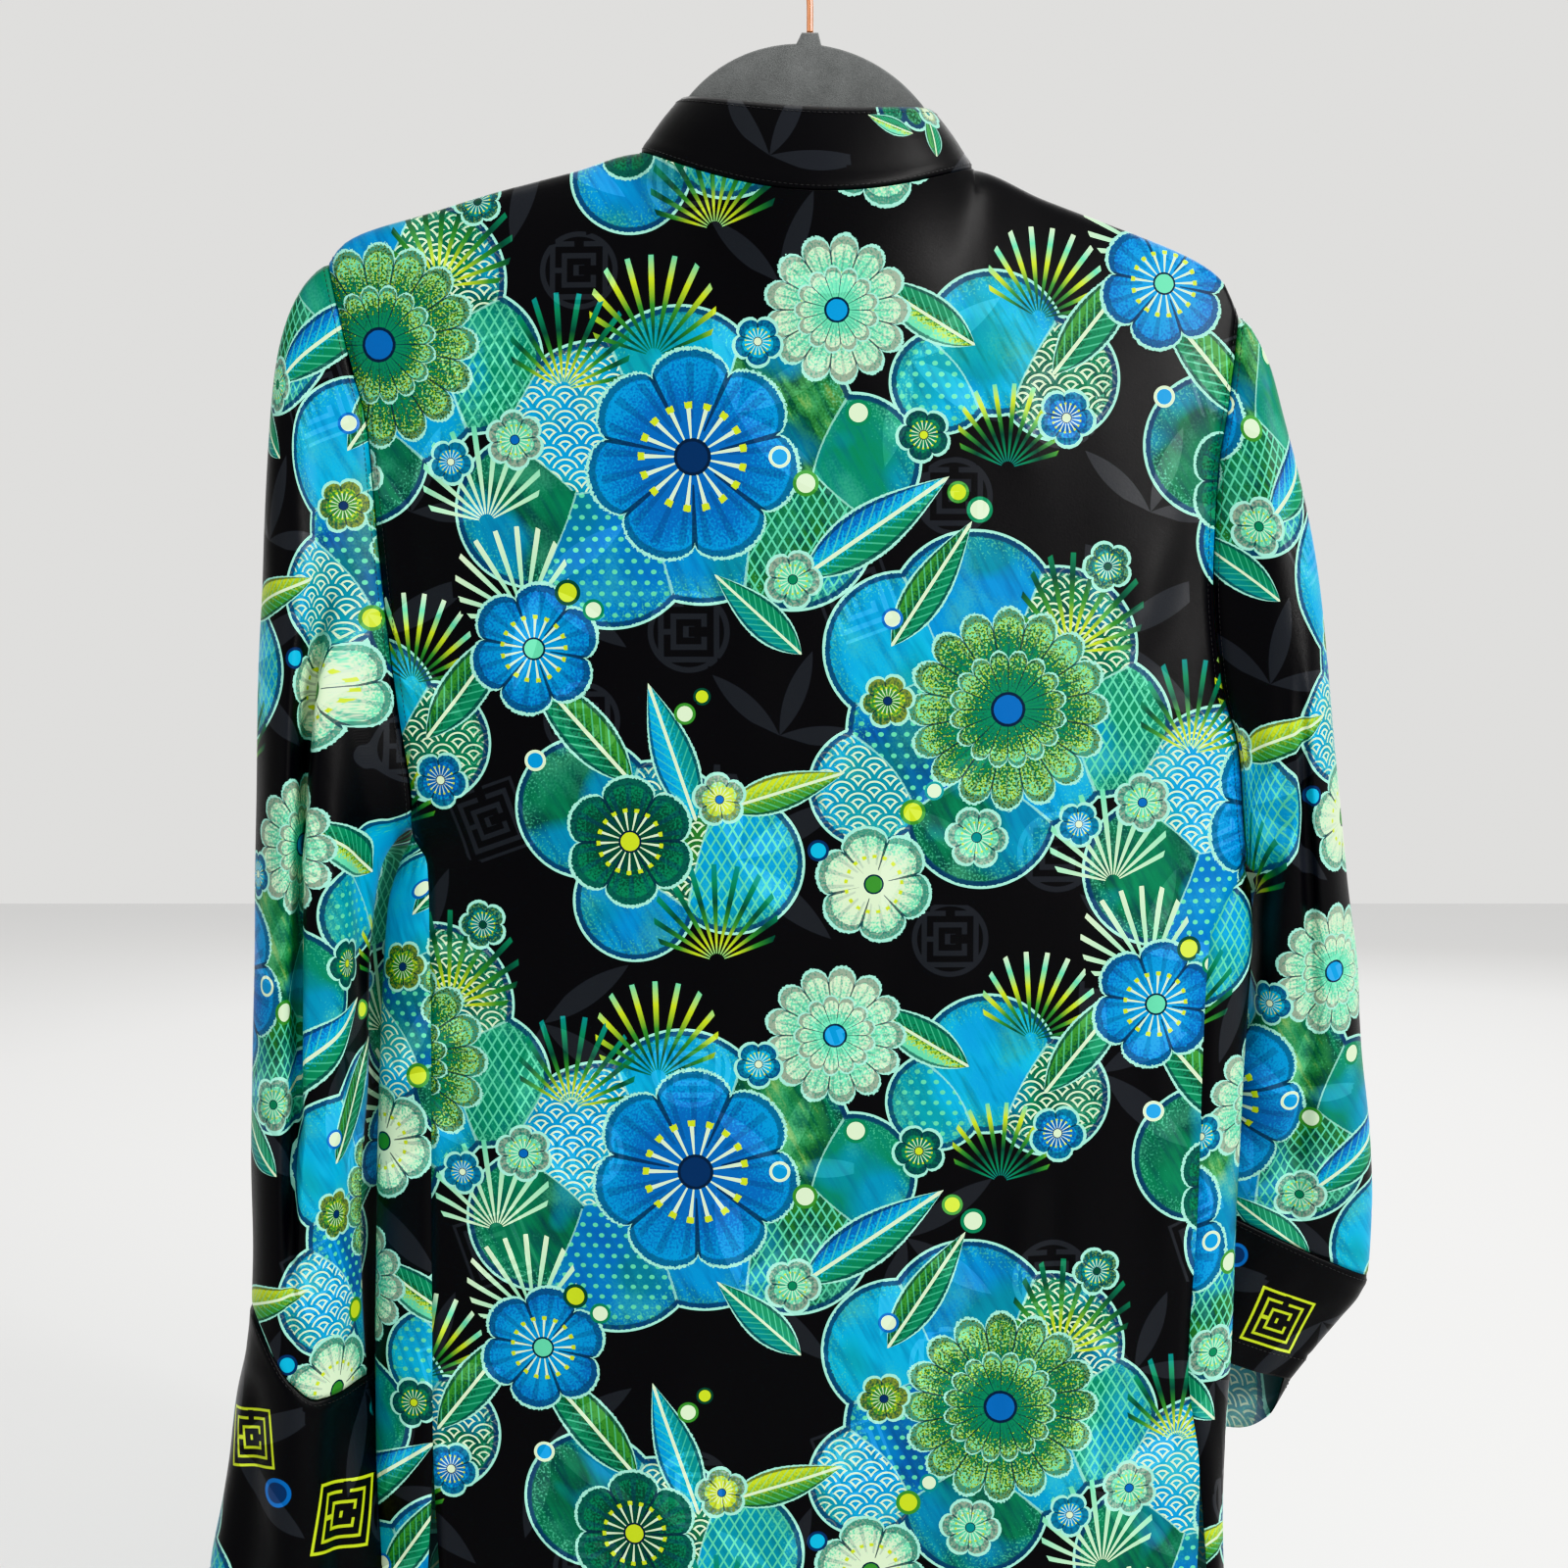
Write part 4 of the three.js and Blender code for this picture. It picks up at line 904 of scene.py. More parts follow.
        return Sheet(points, across, down, True, points - middles), np.linspace(0, 1, rows)[:, None], *ends

    def sleeve(self) -> Sheet:
        """The sleeve's cloth."""
        grain = (0.0, 0.0, -1.0) if self.side < 0 else (0.1, 0.12, -0.98)
        sheet, row, from_top, from_cuff = self.tube(self.rings, self.sleeve_rows, self.sleeve_points, grain)
        settled = ease(row / 0.06) * ease((1 - row) / 0.03)
        seam = -0.9 * bump(from_top, 2.0) + 0.5 * bump(from_top - 6.0, 4.0) - 0.8 * bump(from_cuff, 1.8)
        lift = crease_relief(self.creases, sheet.across, sheet.down)
        sheet.lift((lift + life(sheet.across, sheet.down, 2.0 + self.side, 0.8)) * settled + seam)
        return sheet

    def cuff(self) -> Sheet:
        """The cuff's cloth."""
        sheet, row, from_seam, from_edge = self.tube(self.cuff_rings, self.cuff_rows, self.cuff_points)
        sheet.down -= sheet.down[0].mean()
        seam = -0.8 * bump(from_seam, 1.8) + 0.4 * bump(from_seam - 4.0, 3.0)
        lift = crease_relief(self.cuff_creases, sheet.across, sheet.down)
        lift = (lift + life(sheet.across, sheet.down, 5.0 + self.side, 0.6)) * ease(row / 0.08)
        sheet.lift(lift + seam + hem_band(from_edge, self.hem_depth))
        return sheet


SLEEVE_LEFT_CREASES = table(
    Crease,
    (-26, 260, -34, 420, 7, -1.6, 4), (-8, 300, -14, 640, 9, 1.2, -5), (14, 340, 20, 560, 7, -1.2, 4),
    (30, 480, 34, 690, 8, 1.4, -3), (-40, 500, -22, 640, 6, -1.3, 4), (-48, 430, -10, 470, 6, 0.9, 3),
    (6, 610, 34, 668, 6, -1.0, 4), (70, 300, 76, 640, 12, 1.6, 6), (100, 260, 96, 600, 10, -1.6, -6),
    (-78, 330, -84, 650, 11, 1.5, 6), (-98, 420, -92, 690, 8, -1.4, -4), (20, 232, -12, 300, 8, 0.9, 5),
)
SLEEVE_RIGHT_CREASES = table(
    Crease,
    (-22, 300, -36, 470, 8, -1.5, 5), (0, 320, 6, 540, 9, 1.3, 5), (24, 380, 18, 600, 8, -1.4, -5),
    (-30, 520, 26, 566, 8, -1.8, 6), (-34, 556, 30, 604, 7, 1.6, 5), (-20, 600, 40, 640, 7, -1.5, 4),
    (66, 300, 72, 560, 11, 1.6, 5), (92, 340, 84, 620, 9, -1.6, -5), (-70, 300, -76, 560, 10, 1.4, -5),
    (-96, 380, -90, 640, 9, -1.3, 4),
)
CUFF_LEFT_CREASES = table(
    Crease,
    (-44, 0, -56, 130, 9, 2.2, 4), (-22, 4, -26, 130, 8, -2.4, -3), (2, 0, 4, 120, 9, 2.0, 3),
    (26, 6, 36, 128, 8, -2.2, 3), (48, 0, 62, 130, 9, 1.9, -3), (-80, 0, -90, 130, 10, -1.8, 4),
    (84, 0, 96, 130, 10, -1.8, 4), (-108, 10, -120, 120, 8, 1.6, 3),
)
CUFF_RIGHT_CREASES = table(
    Crease,
    (-40, 4, -44, 80, 9, 1.2, 3), (-12, 0, -14, 78, 8, -1.3, -3), (16, 0, 18, 74, 9, 1.1, 3),
    (44, 6, 50, 80, 8, -1.2, 3), (84, 0, 90, 90, 9, 1.4, 3), (-80, 0, -86, 90, 10, -1.2, 4),
)


def field_method(operation: str) -> Callable[..., "Field"]:
    """A method of a field that does one maths operation."""

    def method(self: "Field", *others: "Field | float") -> "Field":
        """The operation on this field and up to two more values."""
        return self._math(operation, *others)

    return method


class Field:
    """A number at each point of a surface: a node's socket that adds and multiplies like a number."""

    def __init__(self, tree: NodeTree, socket: NodeSocket) -> None:
        """Keeps the tree and the socket."""
        self.tree, self.socket = tree, socket

    def _math(self, operation: str, *others: "Field | float", clamp: bool = False) -> "Field":
        """A maths node on this field and up to two more values."""
        node = self.tree.nodes.new("ShaderNodeMath")
        node.operation = operation
        node.use_clamp = clamp
        self.tree.links.new(self.socket, node.inputs[0])
        for number, other in enumerate(others, start=1):
            if isinstance(other, Field):
                self.tree.links.new(other.socket, node.inputs[number])
            else:
                node.inputs[number].default_value = other
        return Field(self.tree, node.outputs[0])

    def band(self, low: float, high: float) -> "Field":
        """1 between two values, otherwise 0."""
        return self.over(low) * self.under(high)

    def ramp(self, low: float, high: float) -> "Field":
        """A straight rise from 0 at low to 1 at high."""
        span = 1.0 / (high - low)
        return self._math("MULTIPLY_ADD", span, -low * span, clamp=True)

    def __neg__(self) -> "Field":
        """The field times -1."""
        return self * -1.0

    __add__, __sub__ = field_method("ADD"), field_method("SUBTRACT")
    __mul__, __truediv__ = field_method("MULTIPLY"), field_method("DIVIDE")
    plus, power = field_method("MULTIPLY_ADD"), field_method("POWER")
    sin, cos, angle_to = field_method("SINE"), field_method("COSINE"), field_method("ARCTAN2")
    least, most = field_method("MINIMUM"), field_method("MAXIMUM")
    over, under = field_method("GREATER_THAN"), field_method("LESS_THAN")
    abs, fraction = field_method("ABSOLUTE"), field_method("FRACT")


class Board:
    """Draws with the nodes of one tree: it makes fields, colours and layers."""

    def __init__(self, tree: NodeTree) -> None:
        """Keeps the tree."""
        self.tree = tree

    def give(self, socket: NodeSocket, value: object) -> None:
        """Gives an input a number, a colour, a dye, a field, a paint or another node's socket."""
        value = getattr(value, "socket", getattr(value, "colour", value))
        if isinstance(value, Dye):
            value = linear(value.value)
        if isinstance(value, NodeSocket):
            self.tree.links.new(value, socket)
        else:
            socket.default_value = (*value, 1.0) if socket.type == "RGBA" else value

    def node(self, kind: str, inputs: Optional[dict] = None, **settings: object) -> Node:
        """A new node.

        Args:
            kind: Its kind.
            inputs: What its inputs get, by their names or numbers.
            settings: Its other settings.

        Returns:
            The node.
        """
        node = self.tree.nodes.new(kind)
        for name, value in settings.items():
            setattr(node, name, value)
        for name, value in (inputs or {}).items():
            self.give(node.inputs[name], value)
        return node

    def split(self, vector: NodeSocket) -> tuple[Field, Field, Field]:
        """The three numbers of a vector."""
        node = self.node("ShaderNodeSeparateXYZ", {0: vector})
        return tuple(Field(self.tree, out) for out in node.outputs)

    def attribute(self, name: str) -> tuple[Field, Field, Field]:
        """A vector attribute of the mesh."""
        return self.split(self.node("ShaderNodeAttribute", attribute_name=name).outputs["Vector"])

    def join(self, x: Field, y: Field) -> NodeSocket:
        """A flat vector of two fields."""
        return self.node("ShaderNodeCombineXYZ", {0: x, 1: y}).outputs[0]

    def length(self, x: Field, y: Field) -> Field:
        """The length of a flat vector."""
        return (x * x + y * y).power(0.5)

    def noise(
        self, scale: float, detail: float = 1.0, rough: float = 0.5, flat: Optional[NodeSocket] = None
    ) -> Field:
        """Soft noise from 0 to 1.

        Args:
            scale: Its scale.
            detail: How many finer waves it has.
            rough: How strong they are.
            flat: The flat place that it is drawn on, or nothing for the object's own place.

        Returns:
            The noise.
        """
        place = flat or self.node("ShaderNodeTexCoord").outputs["Object"]
        inputs = {"Scale": scale, "Detail": detail, "Roughness": rough, "Vector": place}
        node = self.node("ShaderNodeTexNoise", inputs, noise_dimensions="2D" if flat else "3D")
        return Field(self.tree, node.outputs["Fac"])

    def paint(self, below: object, mask: Field, above: object) -> NodeSocket:
        """One colour over another where a mask is 1."""
        node = self.node("ShaderNodeMix", {"Factor": mask}, data_type="RGBA", clamp_factor=True)
        for socket, colour in zip([s for s in node.inputs if s.type == "RGBA"], (below, above)):
            self.give(socket, colour)
        return [s for s in node.outputs if s.type == "RGBA"][0]

    def blend(self, first: Field, second: Field, share: Field) -> NodeSocket:
        """A dye of the palette between two others."""
        return self.dye(first + (second - first) * share)

    def dye(self, tone: Field) -> NodeSocket:
        """A dye of the palette, by its place from 0 to 1."""
        node = self.node("ShaderNodeValToRGB", {0: tone})
        elements, dyes = node.color_ramp.elements, list(Dye)
        while len(elements) < len(dyes):
            elements.new(0.5)
        for element, dye in zip(elements, dyes):
            element.position, element.color = dye_place(dye), (*linear(dye.value), 1.0)
        return node.outputs[0]

    def relief(self, shader: Node, height: Field, strength: float, distance: float) -> None:
        """Gives a shader a fine relief, with its distance in millimetres."""
        inputs = {"Strength": strength, "Distance": distance * MM, "Height": height}
        self.give(shader.inputs["Normal"], self.node("ShaderNodeBump", inputs).outputs[0])


class Paint:
    """A colour that is laid on layer by layer."""

    def __init__(self, board: Board, colour: object) -> None:
        """Keeps the board and the first colour."""
        self.board, self.colour = board, colour

    def lay(self, mask: Field, above: object) -> None:
        """Lays another colour, dye or paint where a mask is 1."""
        self.colour = self.board.paint(self.colour, mask, above)


def linear(colour: tuple[int, int, int]) -> tuple[float, float, float]:
    """A colour of 0 to 255 as the render's light values."""
    shares = [c / 255.0 for c in colour]
    return tuple(s / 12.92 if s <= 0.04045 else ((s + 0.055) / 1.055) ** 2.4 for s in shares)


def toned(colour: tuple[int, int, int], factor: float) -> tuple[float, float, float]:
    """A colour of 0 to 255 as light values times a factor."""
    return tuple(min(c * factor, 1.0) for c in linear(colour))


class Dye(Enum):
    """The dyes of the print."""

    NAVY = (6, 40, 84)
    ROYAL = (6, 90, 164)
    TURQUOISE = (0, 134, 192)
    CYAN = (14, 164, 200)
    TEAL = (4, 122, 122)
    EMERALD = (10, 116, 76)
    FOREST = (3, 58, 42)
    OLIVE = (58, 130, 52)
    LIME = (182, 200, 44)
    MINT = (92, 194, 156)
    CREAM = (208, 228, 194)


def dye_place(dye: Dye) -> float:
    """Where a dye lies along the palette."""
    dyes = list(Dye)
    return dyes.index(dye) / (len(dyes) - 1)


class Fill(Enum):
    """What fills a lobe of a cloud."""

    PLAIN = 0.0
    WAVES = 1.0
    NET = 2.0
    DOTS = 3.0


class Lobe(NamedTuple):
    """A round lobe of a cloud: its middle, radius, dyes and fill. Lobes that overlap make one cloud."""

    x: float
    y: float
    radius: float
    first: Dye
    second: Dye
    fill: Fill = Fill.PLAIN


class Bloom(NamedTuple):
    """A flower from above."""

    x: float
    y: float
    radius: float
    turn: float
    petals: int
    notch: float
    first: Dye
    second: Dye
    heart: Dye


class Shape(Enum):
    """The kind of a sprig."""

    LEAF = 0.0
    NEEDLES = 1.0


class Sprig(NamedTuple):
    """A leaf or a burst of needles: its middle, half length, turn, width share, dyes and kind."""

    x: float
    y: float
    radius: float
    turn: float
    width: float
    first: Dye
    second: Dye
    shape: Shape = Shape.LEAF


class Berry(NamedTuple):
    """A small round berry."""

    x: float
    y: float
    radius: float
    first: Dye
    rim: Dye


class Fret(NamedTuple):
    """A square fret."""

    x: float
    y: float
    radius: float
    turn: float
    first: Dye


class Damask(Enum):
    """The kind of a tone-on-tone motif."""

    ROUND = 0.0
    SQUARE = 1.0
    BAMBOO = 2.0


class Woven(NamedTuple):
    """A motif woven into the silk, in the silk's own colour."""

    x: float
    y: float
    radius: float
    turn: float
    damask: Damask


@dataclass(frozen=True)
class Layout:
    """The motifs of a cloth, within one repeat or laid once."""

    repeat: Optional[tuple[float, float]] = None
    lobes: tuple[Lobe, ...] = ()
    blooms: tuple[Bloom, ...] = ()
    blossoms: tuple[Bloom, ...] = ()
    sprigs: tuple[Sprig, ...] = ()
    berries: tuple[Berry, ...] = ()
    frets: tuple[Fret, ...] = ()

    def grown(self, lobes: float, blooms: float, sprigs: float) -> "Layout":
        """The layout with its lobes, blooms and sprigs larger by factors."""
        return replace(
            self,
            lobes=tuple(m._replace(radius=m.radius * lobes) for m in self.lobes),
            blooms=tuple(m._replace(radius=m.radius * blooms) for m in self.blooms),
            sprigs=tuple(m._replace(radius=m.radius * sprigs) for m in self.sprigs),
        )

    def copies(self, u: ndarray, v: ndarray) -> ndarray:
        """The offsets of the repeats around each point, a half drop from column to column.

        Args:
            u: Place of each point across.
            v: Place of each point up.

        Returns:
            Nine offsets for each point, or none but zero where the layout doesn't repeat.
        """
        if self.repeat is None:
            return np.zeros((len(u), 1, 2))
        wide, tall = self.repeat
        found = []
        for i in (-1, 0, 1):
            column = np.floor(u / wide + 0.5) + i
            drop = np.mod(column, 2) * tall / 2
            for j in (-1, 0, 1):
                row = np.floor((v - drop) / tall + 0.5) + j
                found.append(np.stack([column * wide, row * tall + drop], axis=1))
        return np.stack(found, axis=1)


NAVY, ROYAL, TURQUOISE, CYAN, TEAL, EMERALD, FOREST, OLIVE, LIME, MINT, CREAM = Dye
PLAIN, WAVES, NET, DOTS = Fill
LEAF, NEEDLES = Shape
ROUND, SQUARE, BAMBOO = Damask
GARDEN = Layout(
    repeat=(292.0, 336.0),
    lobes=table(
        Lobe, (-128, 42, 30, EMERALD, OLIVE), (-98, 76, 36, TURQUOISE, CYAN, WAVES),
        (-60, 94, 34, CYAN, TURQUOISE), (-22, 80, 36, EMERALD, MINT), (-92, 28, 34, ROYAL, TURQUOISE, DOTS),
        (-50, 44, 38, TURQUOISE, ROYAL), (-8, 34, 32, OLIVE, EMERALD, NET), (20, 64, 26, EMERALD, TEAL),
        (42, -22, 30, CYAN, TURQUOISE), (76, -8, 34, TURQUOISE, ROYAL),
        (114, -22, 32, EMERALD, OLIVE, WAVES), (60, -60, 36, ROYAL, NAVY, DOTS),
        (100, -62, 38, TURQUOISE, CYAN), (136, -58, 28, EMERALD, TEAL, NET), (80, -98, 30, EMERALD, OLIVE),
        (28, -86, 24, TURQUOISE, CYAN, WAVES), (-104, -96, 28, EMERALD, OLIVE),
        (-72, -112, 32, OLIVE, EMERALD, WAVES), (-36, -122, 28, TURQUOISE, CYAN, NET),
        (-82, -140, 24, TURQUOISE, ROYAL), (84, 118, 28, TURQUOISE, EMERALD),
        (114, 102, 24, EMERALD, OLIVE, WAVES), (60, 100, 20, CYAN, TURQUOISE, DOTS),
    ),
    blooms=table(
        Bloom, (-54, 66, 43, 0.2, 7, 0.2, TURQUOISE, ROYAL, NAVY),
        (92, -50, 41, 0.0, 16, 0.2, MINT, EMERALD, ROYAL),
        (-84, -112, 27, 0.5, 6, 0.24, EMERALD, FOREST, LIME),
        (12, 132, 29, 0.0, 13, 0.22, CREAM, MINT, TURQUOISE),
        (-128, -22, 27, 0.7, 6, 0.24, ROYAL, TURQUOISE, MINT),
        (30, -132, 24, 0.3, 6, 0.24, MINT, CREAM, OLIVE),
    ),
    blossoms=table(
        Bloom, (-8, 10, 14, 0.1, 5, 0.26, CREAM, MINT, EMERALD),
        (52, 76, 13, 0.5, 5, 0.26, FOREST, EMERALD, LIME), (36, -46, 13, 0.9, 6, 0.26, LIME, OLIVE, NAVY),
        (-136, 74, 14, 0.4, 6, 0.25, CREAM, MINT, ROYAL), (118, 84, 14, 0.2, 5, 0.26, CYAN, ROYAL, CREAM),
        (-42, -92, 13, 0.8, 5, 0.26, CREAM, LIME, ROYAL), (78, -110, 15, 0.1, 6, 0.25, CREAM, MINT, TEAL),
        (138, 16, 12, 0.6, 5, 0.26, MINT, TEAL, FOREST), (-24, 118, 12, 0.3, 5, 0.26, ROYAL, CYAN, CREAM),
        (126, -104, 11, 0.2, 5, 0.26, CYAN, TURQUOISE, CREAM),
    ),
    sprigs=table(
        Sprig, (30, 34, 36, 0.6, 0.3, EMERALD, ROYAL), (56, 8, 30, 1.0, 0.28, EMERALD, OLIVE),
        (-108, -56, 34, 2.3, 0.3, OLIVE, EMERALD), (-64, -70, 30, 1.9, 0.3, TEAL, TURQUOISE),
        (134, 132, 32, 0.9, 0.3, EMERALD, OLIVE), (-12, -88, 26, 0.3, 0.3, OLIVE, LIME),
        (50, 132, 26, 2.6, 0.34, EMERALD, MINT), (-24, -6, 24, 2.4, 0.32, EMERALD, TEAL),
        (-110, 116, 23, 1.4, 0.5, MINT, TEAL, NEEDLES), (-72, 132, 24, 1.6, 0.5, EMERALD, MINT, NEEDLES),
        (-138, 10, 22, 1.9, 0.5, MINT, CREAM, NEEDLES), (126, -4, 24, 1.3, 0.5, MINT, EMERALD, NEEDLES),
        (140, -112, 23, 1.7, 0.5, CREAM, MINT, NEEDLES), (92, 78, 20, 1.5, 0.5, TEAL, MINT, NEEDLES),
        (-44, -148, 24, 1.6, 0.5, MINT, TEAL, NEEDLES), (108, 148, 22, 1.4, 0.5, EMERALD, CREAM, NEEDLES),
    ),
    berries=table(
        Berry, (-2, 54, 6, CREAM, OLIVE), (-14, 66, 5, TURQUOISE, CREAM), (22, 86, 6, CREAM, EMERALD),
        (48, -98, 6, LIME, OLIVE), (58, -88, 4.5, CREAM, TEAL), (38, -8, 5, CREAM, ROYAL),
        (-112, 4, 6, LIME, FOREST), (-100, -4, 5, CREAM, EMERALD), (68, 50, 5, LIME, OLIVE),
        (78, 42, 6, CREAM, EMERALD), (-128, -74, 5, TURQUOISE, CREAM), (4, -116, 5, CYAN, NAVY),
        (-58, -52, 5, CREAM, OLIVE), (-50, -44, 4, LIME, FOREST),
    ),
)
GARDEN = GARDEN.grown(1.21, 1.16, 1.14)
COLLAR_LAYOUT = Layout(
    lobes=table(Lobe, (48, 34, 9, EMERALD, OLIVE), (60, 30, 8, EMERALD, MINT)),
    blossoms=table(Bloom, (72, 30, 8, 0.3, 5, 0.26, MINT, CREAM, TEAL)),
    sprigs=table(
        Sprig, (44, 28, 12, 2.6, 0.36, EMERALD, MINT), (66, 20, 12, 1.2, 0.36, EMERALD, OLIVE),
        (-112, 20, 14, 0.6, 0.34, TEAL, TURQUOISE),
    ),
    berries=table(Berry, (-104, 26, 4, CREAM, OLIVE)),
)
LEFT_CUFF_LAYOUT = Layout(
    lobes=table(
        Lobe, (-60, -84, 21, CYAN, TURQUOISE), (-50, -112, 22, TURQUOISE, ROYAL, NET),
        (-56, -32, 15, TEAL, ROYAL, WAVES), (96, -60, 26, EMERALD, OLIVE),
        (-100, -84, 26, TURQUOISE, CYAN, WAVES), (112, -92, 30, CYAN, TURQUOISE),
    ),
    blossoms=table(Bloom, (92, -62, 14, 0.3, 5, 0.26, CREAM, MINT, ROYAL)),
    sprigs=table(Sprig, (64, -110, 20, 1.2, 0.34, EMERALD, OLIVE)),
    berries=table(Berry, (-4, -60, 7, NAVY, ROYAL), (54, -30, 5, NAVY, TEAL)),
    frets=table(Fret, (-22, -38, 14, 0.2, LIME), (32, -76, 17, -0.12, LIME), (-96, -30, 14, 0.2, OLIVE)),
)
RIGHT_CUFF_LAYOUT = Layout(
    lobes=table(
        Lobe, (-62, -60, 18, TURQUOISE, ROYAL, WAVES), (118, -84, 38, CYAN, TURQUOISE, WAVES),
        (-116, -84, 44, TURQUOISE, CYAN, NET), (-92, -40, 20, EMERALD, OLIVE),
    ),
    sprigs=table(Sprig, (92, -34, 18, 1.0, 0.34, EMERALD, TURQUOISE)),
    berries=table(Berry, (-14, -20, 6, NAVY, ROYAL), (4, -70, 5, NAVY, TEAL)),
    frets=table(Fret, (25, -33, 15, 0.3, LIME), (-40, -46, 12, 0.1, OLIVE)),
)
WOVEN = Layout(repeat=(172.0, 206.0))
WOVEN_MOTIFS = table(
    Woven,
    (-56, 62, 19, 0.0, ROUND), (22, 76, 17, 0.35, SQUARE), (-34, -44, 58, 0.5, BAMBOO),
    (46, -20, 50, -0.6, BAMBOO), (66, -82, 18, 0.0, ROUND), (-14, 14, 42, 1.2, BAMBOO),
)


class PatternMarks:
    """Marks each face of a cloth with the motifs nearest to it, which its material then draws."""

    def __init__(self, piece: Object) -> None:
        """Finds the pattern place of each face.

        Args:
            piece: A cloth with its pattern map.
        """
        self.mesh = piece.data
        uv = np.zeros(len(self.mesh.loops) * 2, np.float32)
        self.mesh.uv_layers["cloth"].data.foreach_get("uv", uv)
        corners = uv.reshape(-1, 4, 2)
        middle = corners.mean(axis=1) / MM
        self.u, self.v = middle[:, 0].astype(float), middle[:, 1].astype(float)

    def write(self, name: str, values: ndarray) -> None:
        """Writes a vector for each face."""
        found = self.mesh.attributes.new(name, "FLOAT_VECTOR", "FACE")
        found.data.foreach_set("vector", values.astype(np.float32).ravel())

    def nearest(
        self, layout: Layout, motifs: Sequence[tuple], ratio: bool, count: int
    ) -> tuple[ndarray, ndarray]:
        """The nearest motifs of each face.

        Args:
            layout: The layout, for its repeat.
            motifs: The motifs of one layer.
            ratio: Whether nearness is the distance over the radius, or the distance less the radius.
            count: How many to find.

        Returns:
            The numbers of the motifs, and the offsets of their repeats.
        """
        copies = layout.copies(self.u, self.v)
        best = []
        for number, motif in enumerate(motifs):
            away = np.hypot(
                self.u[:, None] - copies[..., 0] - motif.x,
                self.v[:, None] - copies[..., 1] - motif.y,
            )
            score = away / motif.radius if ratio else away - motif.radius
            best.append(score)
        scores = np.stack(best, axis=2).reshape(len(self.u), -1)
        order = np.argpartition(scores, min(count, scores.shape[1] - 1), axis=1)[:, :count]
        ranked = np.take_along_axis(scores, order, axis=1)
        order = np.take_along_axis(order, np.argsort(ranked, axis=1), axis=1)
        copy, number = order // len(motifs), order % len(motifs)
        rows = np.arange(len(self.u))[:, None]
        return number, copies[rows, copy]

    def layer(
        self, names: Sequence[str], layout: Layout, motifs: Sequence[tuple], tables: Sequence[ndarray],
        ratio: bool,
    ) -> None:
        """Marks one layer of motifs.

        Args:
            names: Name of each rank of nearness.
            layout: The layout.
            motifs: The layer's motifs.
            tables: The vectors kept for each motif beside its place, a row for each motif.
            ratio: How nearness is measured.
        """
        if not motifs:
            far = np.tile([9000.0, 9000.0, 1.0], (len(self.u), 1))
            for name in names:
                self.write(name, far)
                for number in range(2):
                    self.write(f"{name}_{number}", np.zeros_like(far))
            return
        number, offset = self.nearest(layout, motifs, ratio, len(names))
        places = np.array([[m.x, m.y, m.radius] for m in motifs], float)
        for rank, name in enumerate(names):
            rank = min(rank, number.shape[1] - 1)
            chosen = places[number[:, rank]]
            chosen[:, :2] += offset[:, rank]
            self.write(name, chosen)
            for index, table in enumerate(tables):
                self.write(f"{name}_{index}", table[number[:, rank]])

    def mark(self, layout: Layout) -> None:
        """Marks every layer of a layout and the woven motifs."""
        lobes, sprigs, berries, frets = layout.lobes, layout.sprigs, layout.berries, layout.frets
        dyes = np.array([[dye_place(m.first), dye_place(m.second), m.fill.value] for m in lobes])
        self.layer(("cloud", "cloud_next"), layout, lobes, (dyes,), False)
        for name, blooms in (("bloom", layout.blooms), ("blossom", layout.blossoms)):
            cut = np.array([[m.turn, m.petals, m.notch] for m in blooms])
            dyes = np.array([[dye_place(m.first), dye_place(m.second), dye_place(m.heart)] for m in blooms])
            self.layer((name,), layout, blooms, (cut, dyes), True)
        cut = np.array([[m.turn, m.width, m.shape.value] for m in sprigs])
        dyes = np.array([[dye_place(m.first), dye_place(m.second), 0.0] for m in sprigs])
        self.layer(("sprig", "sprig_next"), layout, sprigs, (cut, dyes), True)
        dyes = np.array([[dye_place(m.first), dye_place(m.rim), 0.0] for m in berries])
        self.layer(("berry",), layout, berries, (dyes,), True)
        cut = np.array([[m.turn, dye_place(m.first), 0.0] for m in frets])
        self.layer(("fret",), layout, frets, (cut,), True)
        cut = np.array([[m.turn, m.damask.value, 0.0] for m in WOVEN_MOTIFS])
        self.layer(("woven",), WOVEN, WOVEN_MOTIFS, (cut,), True)


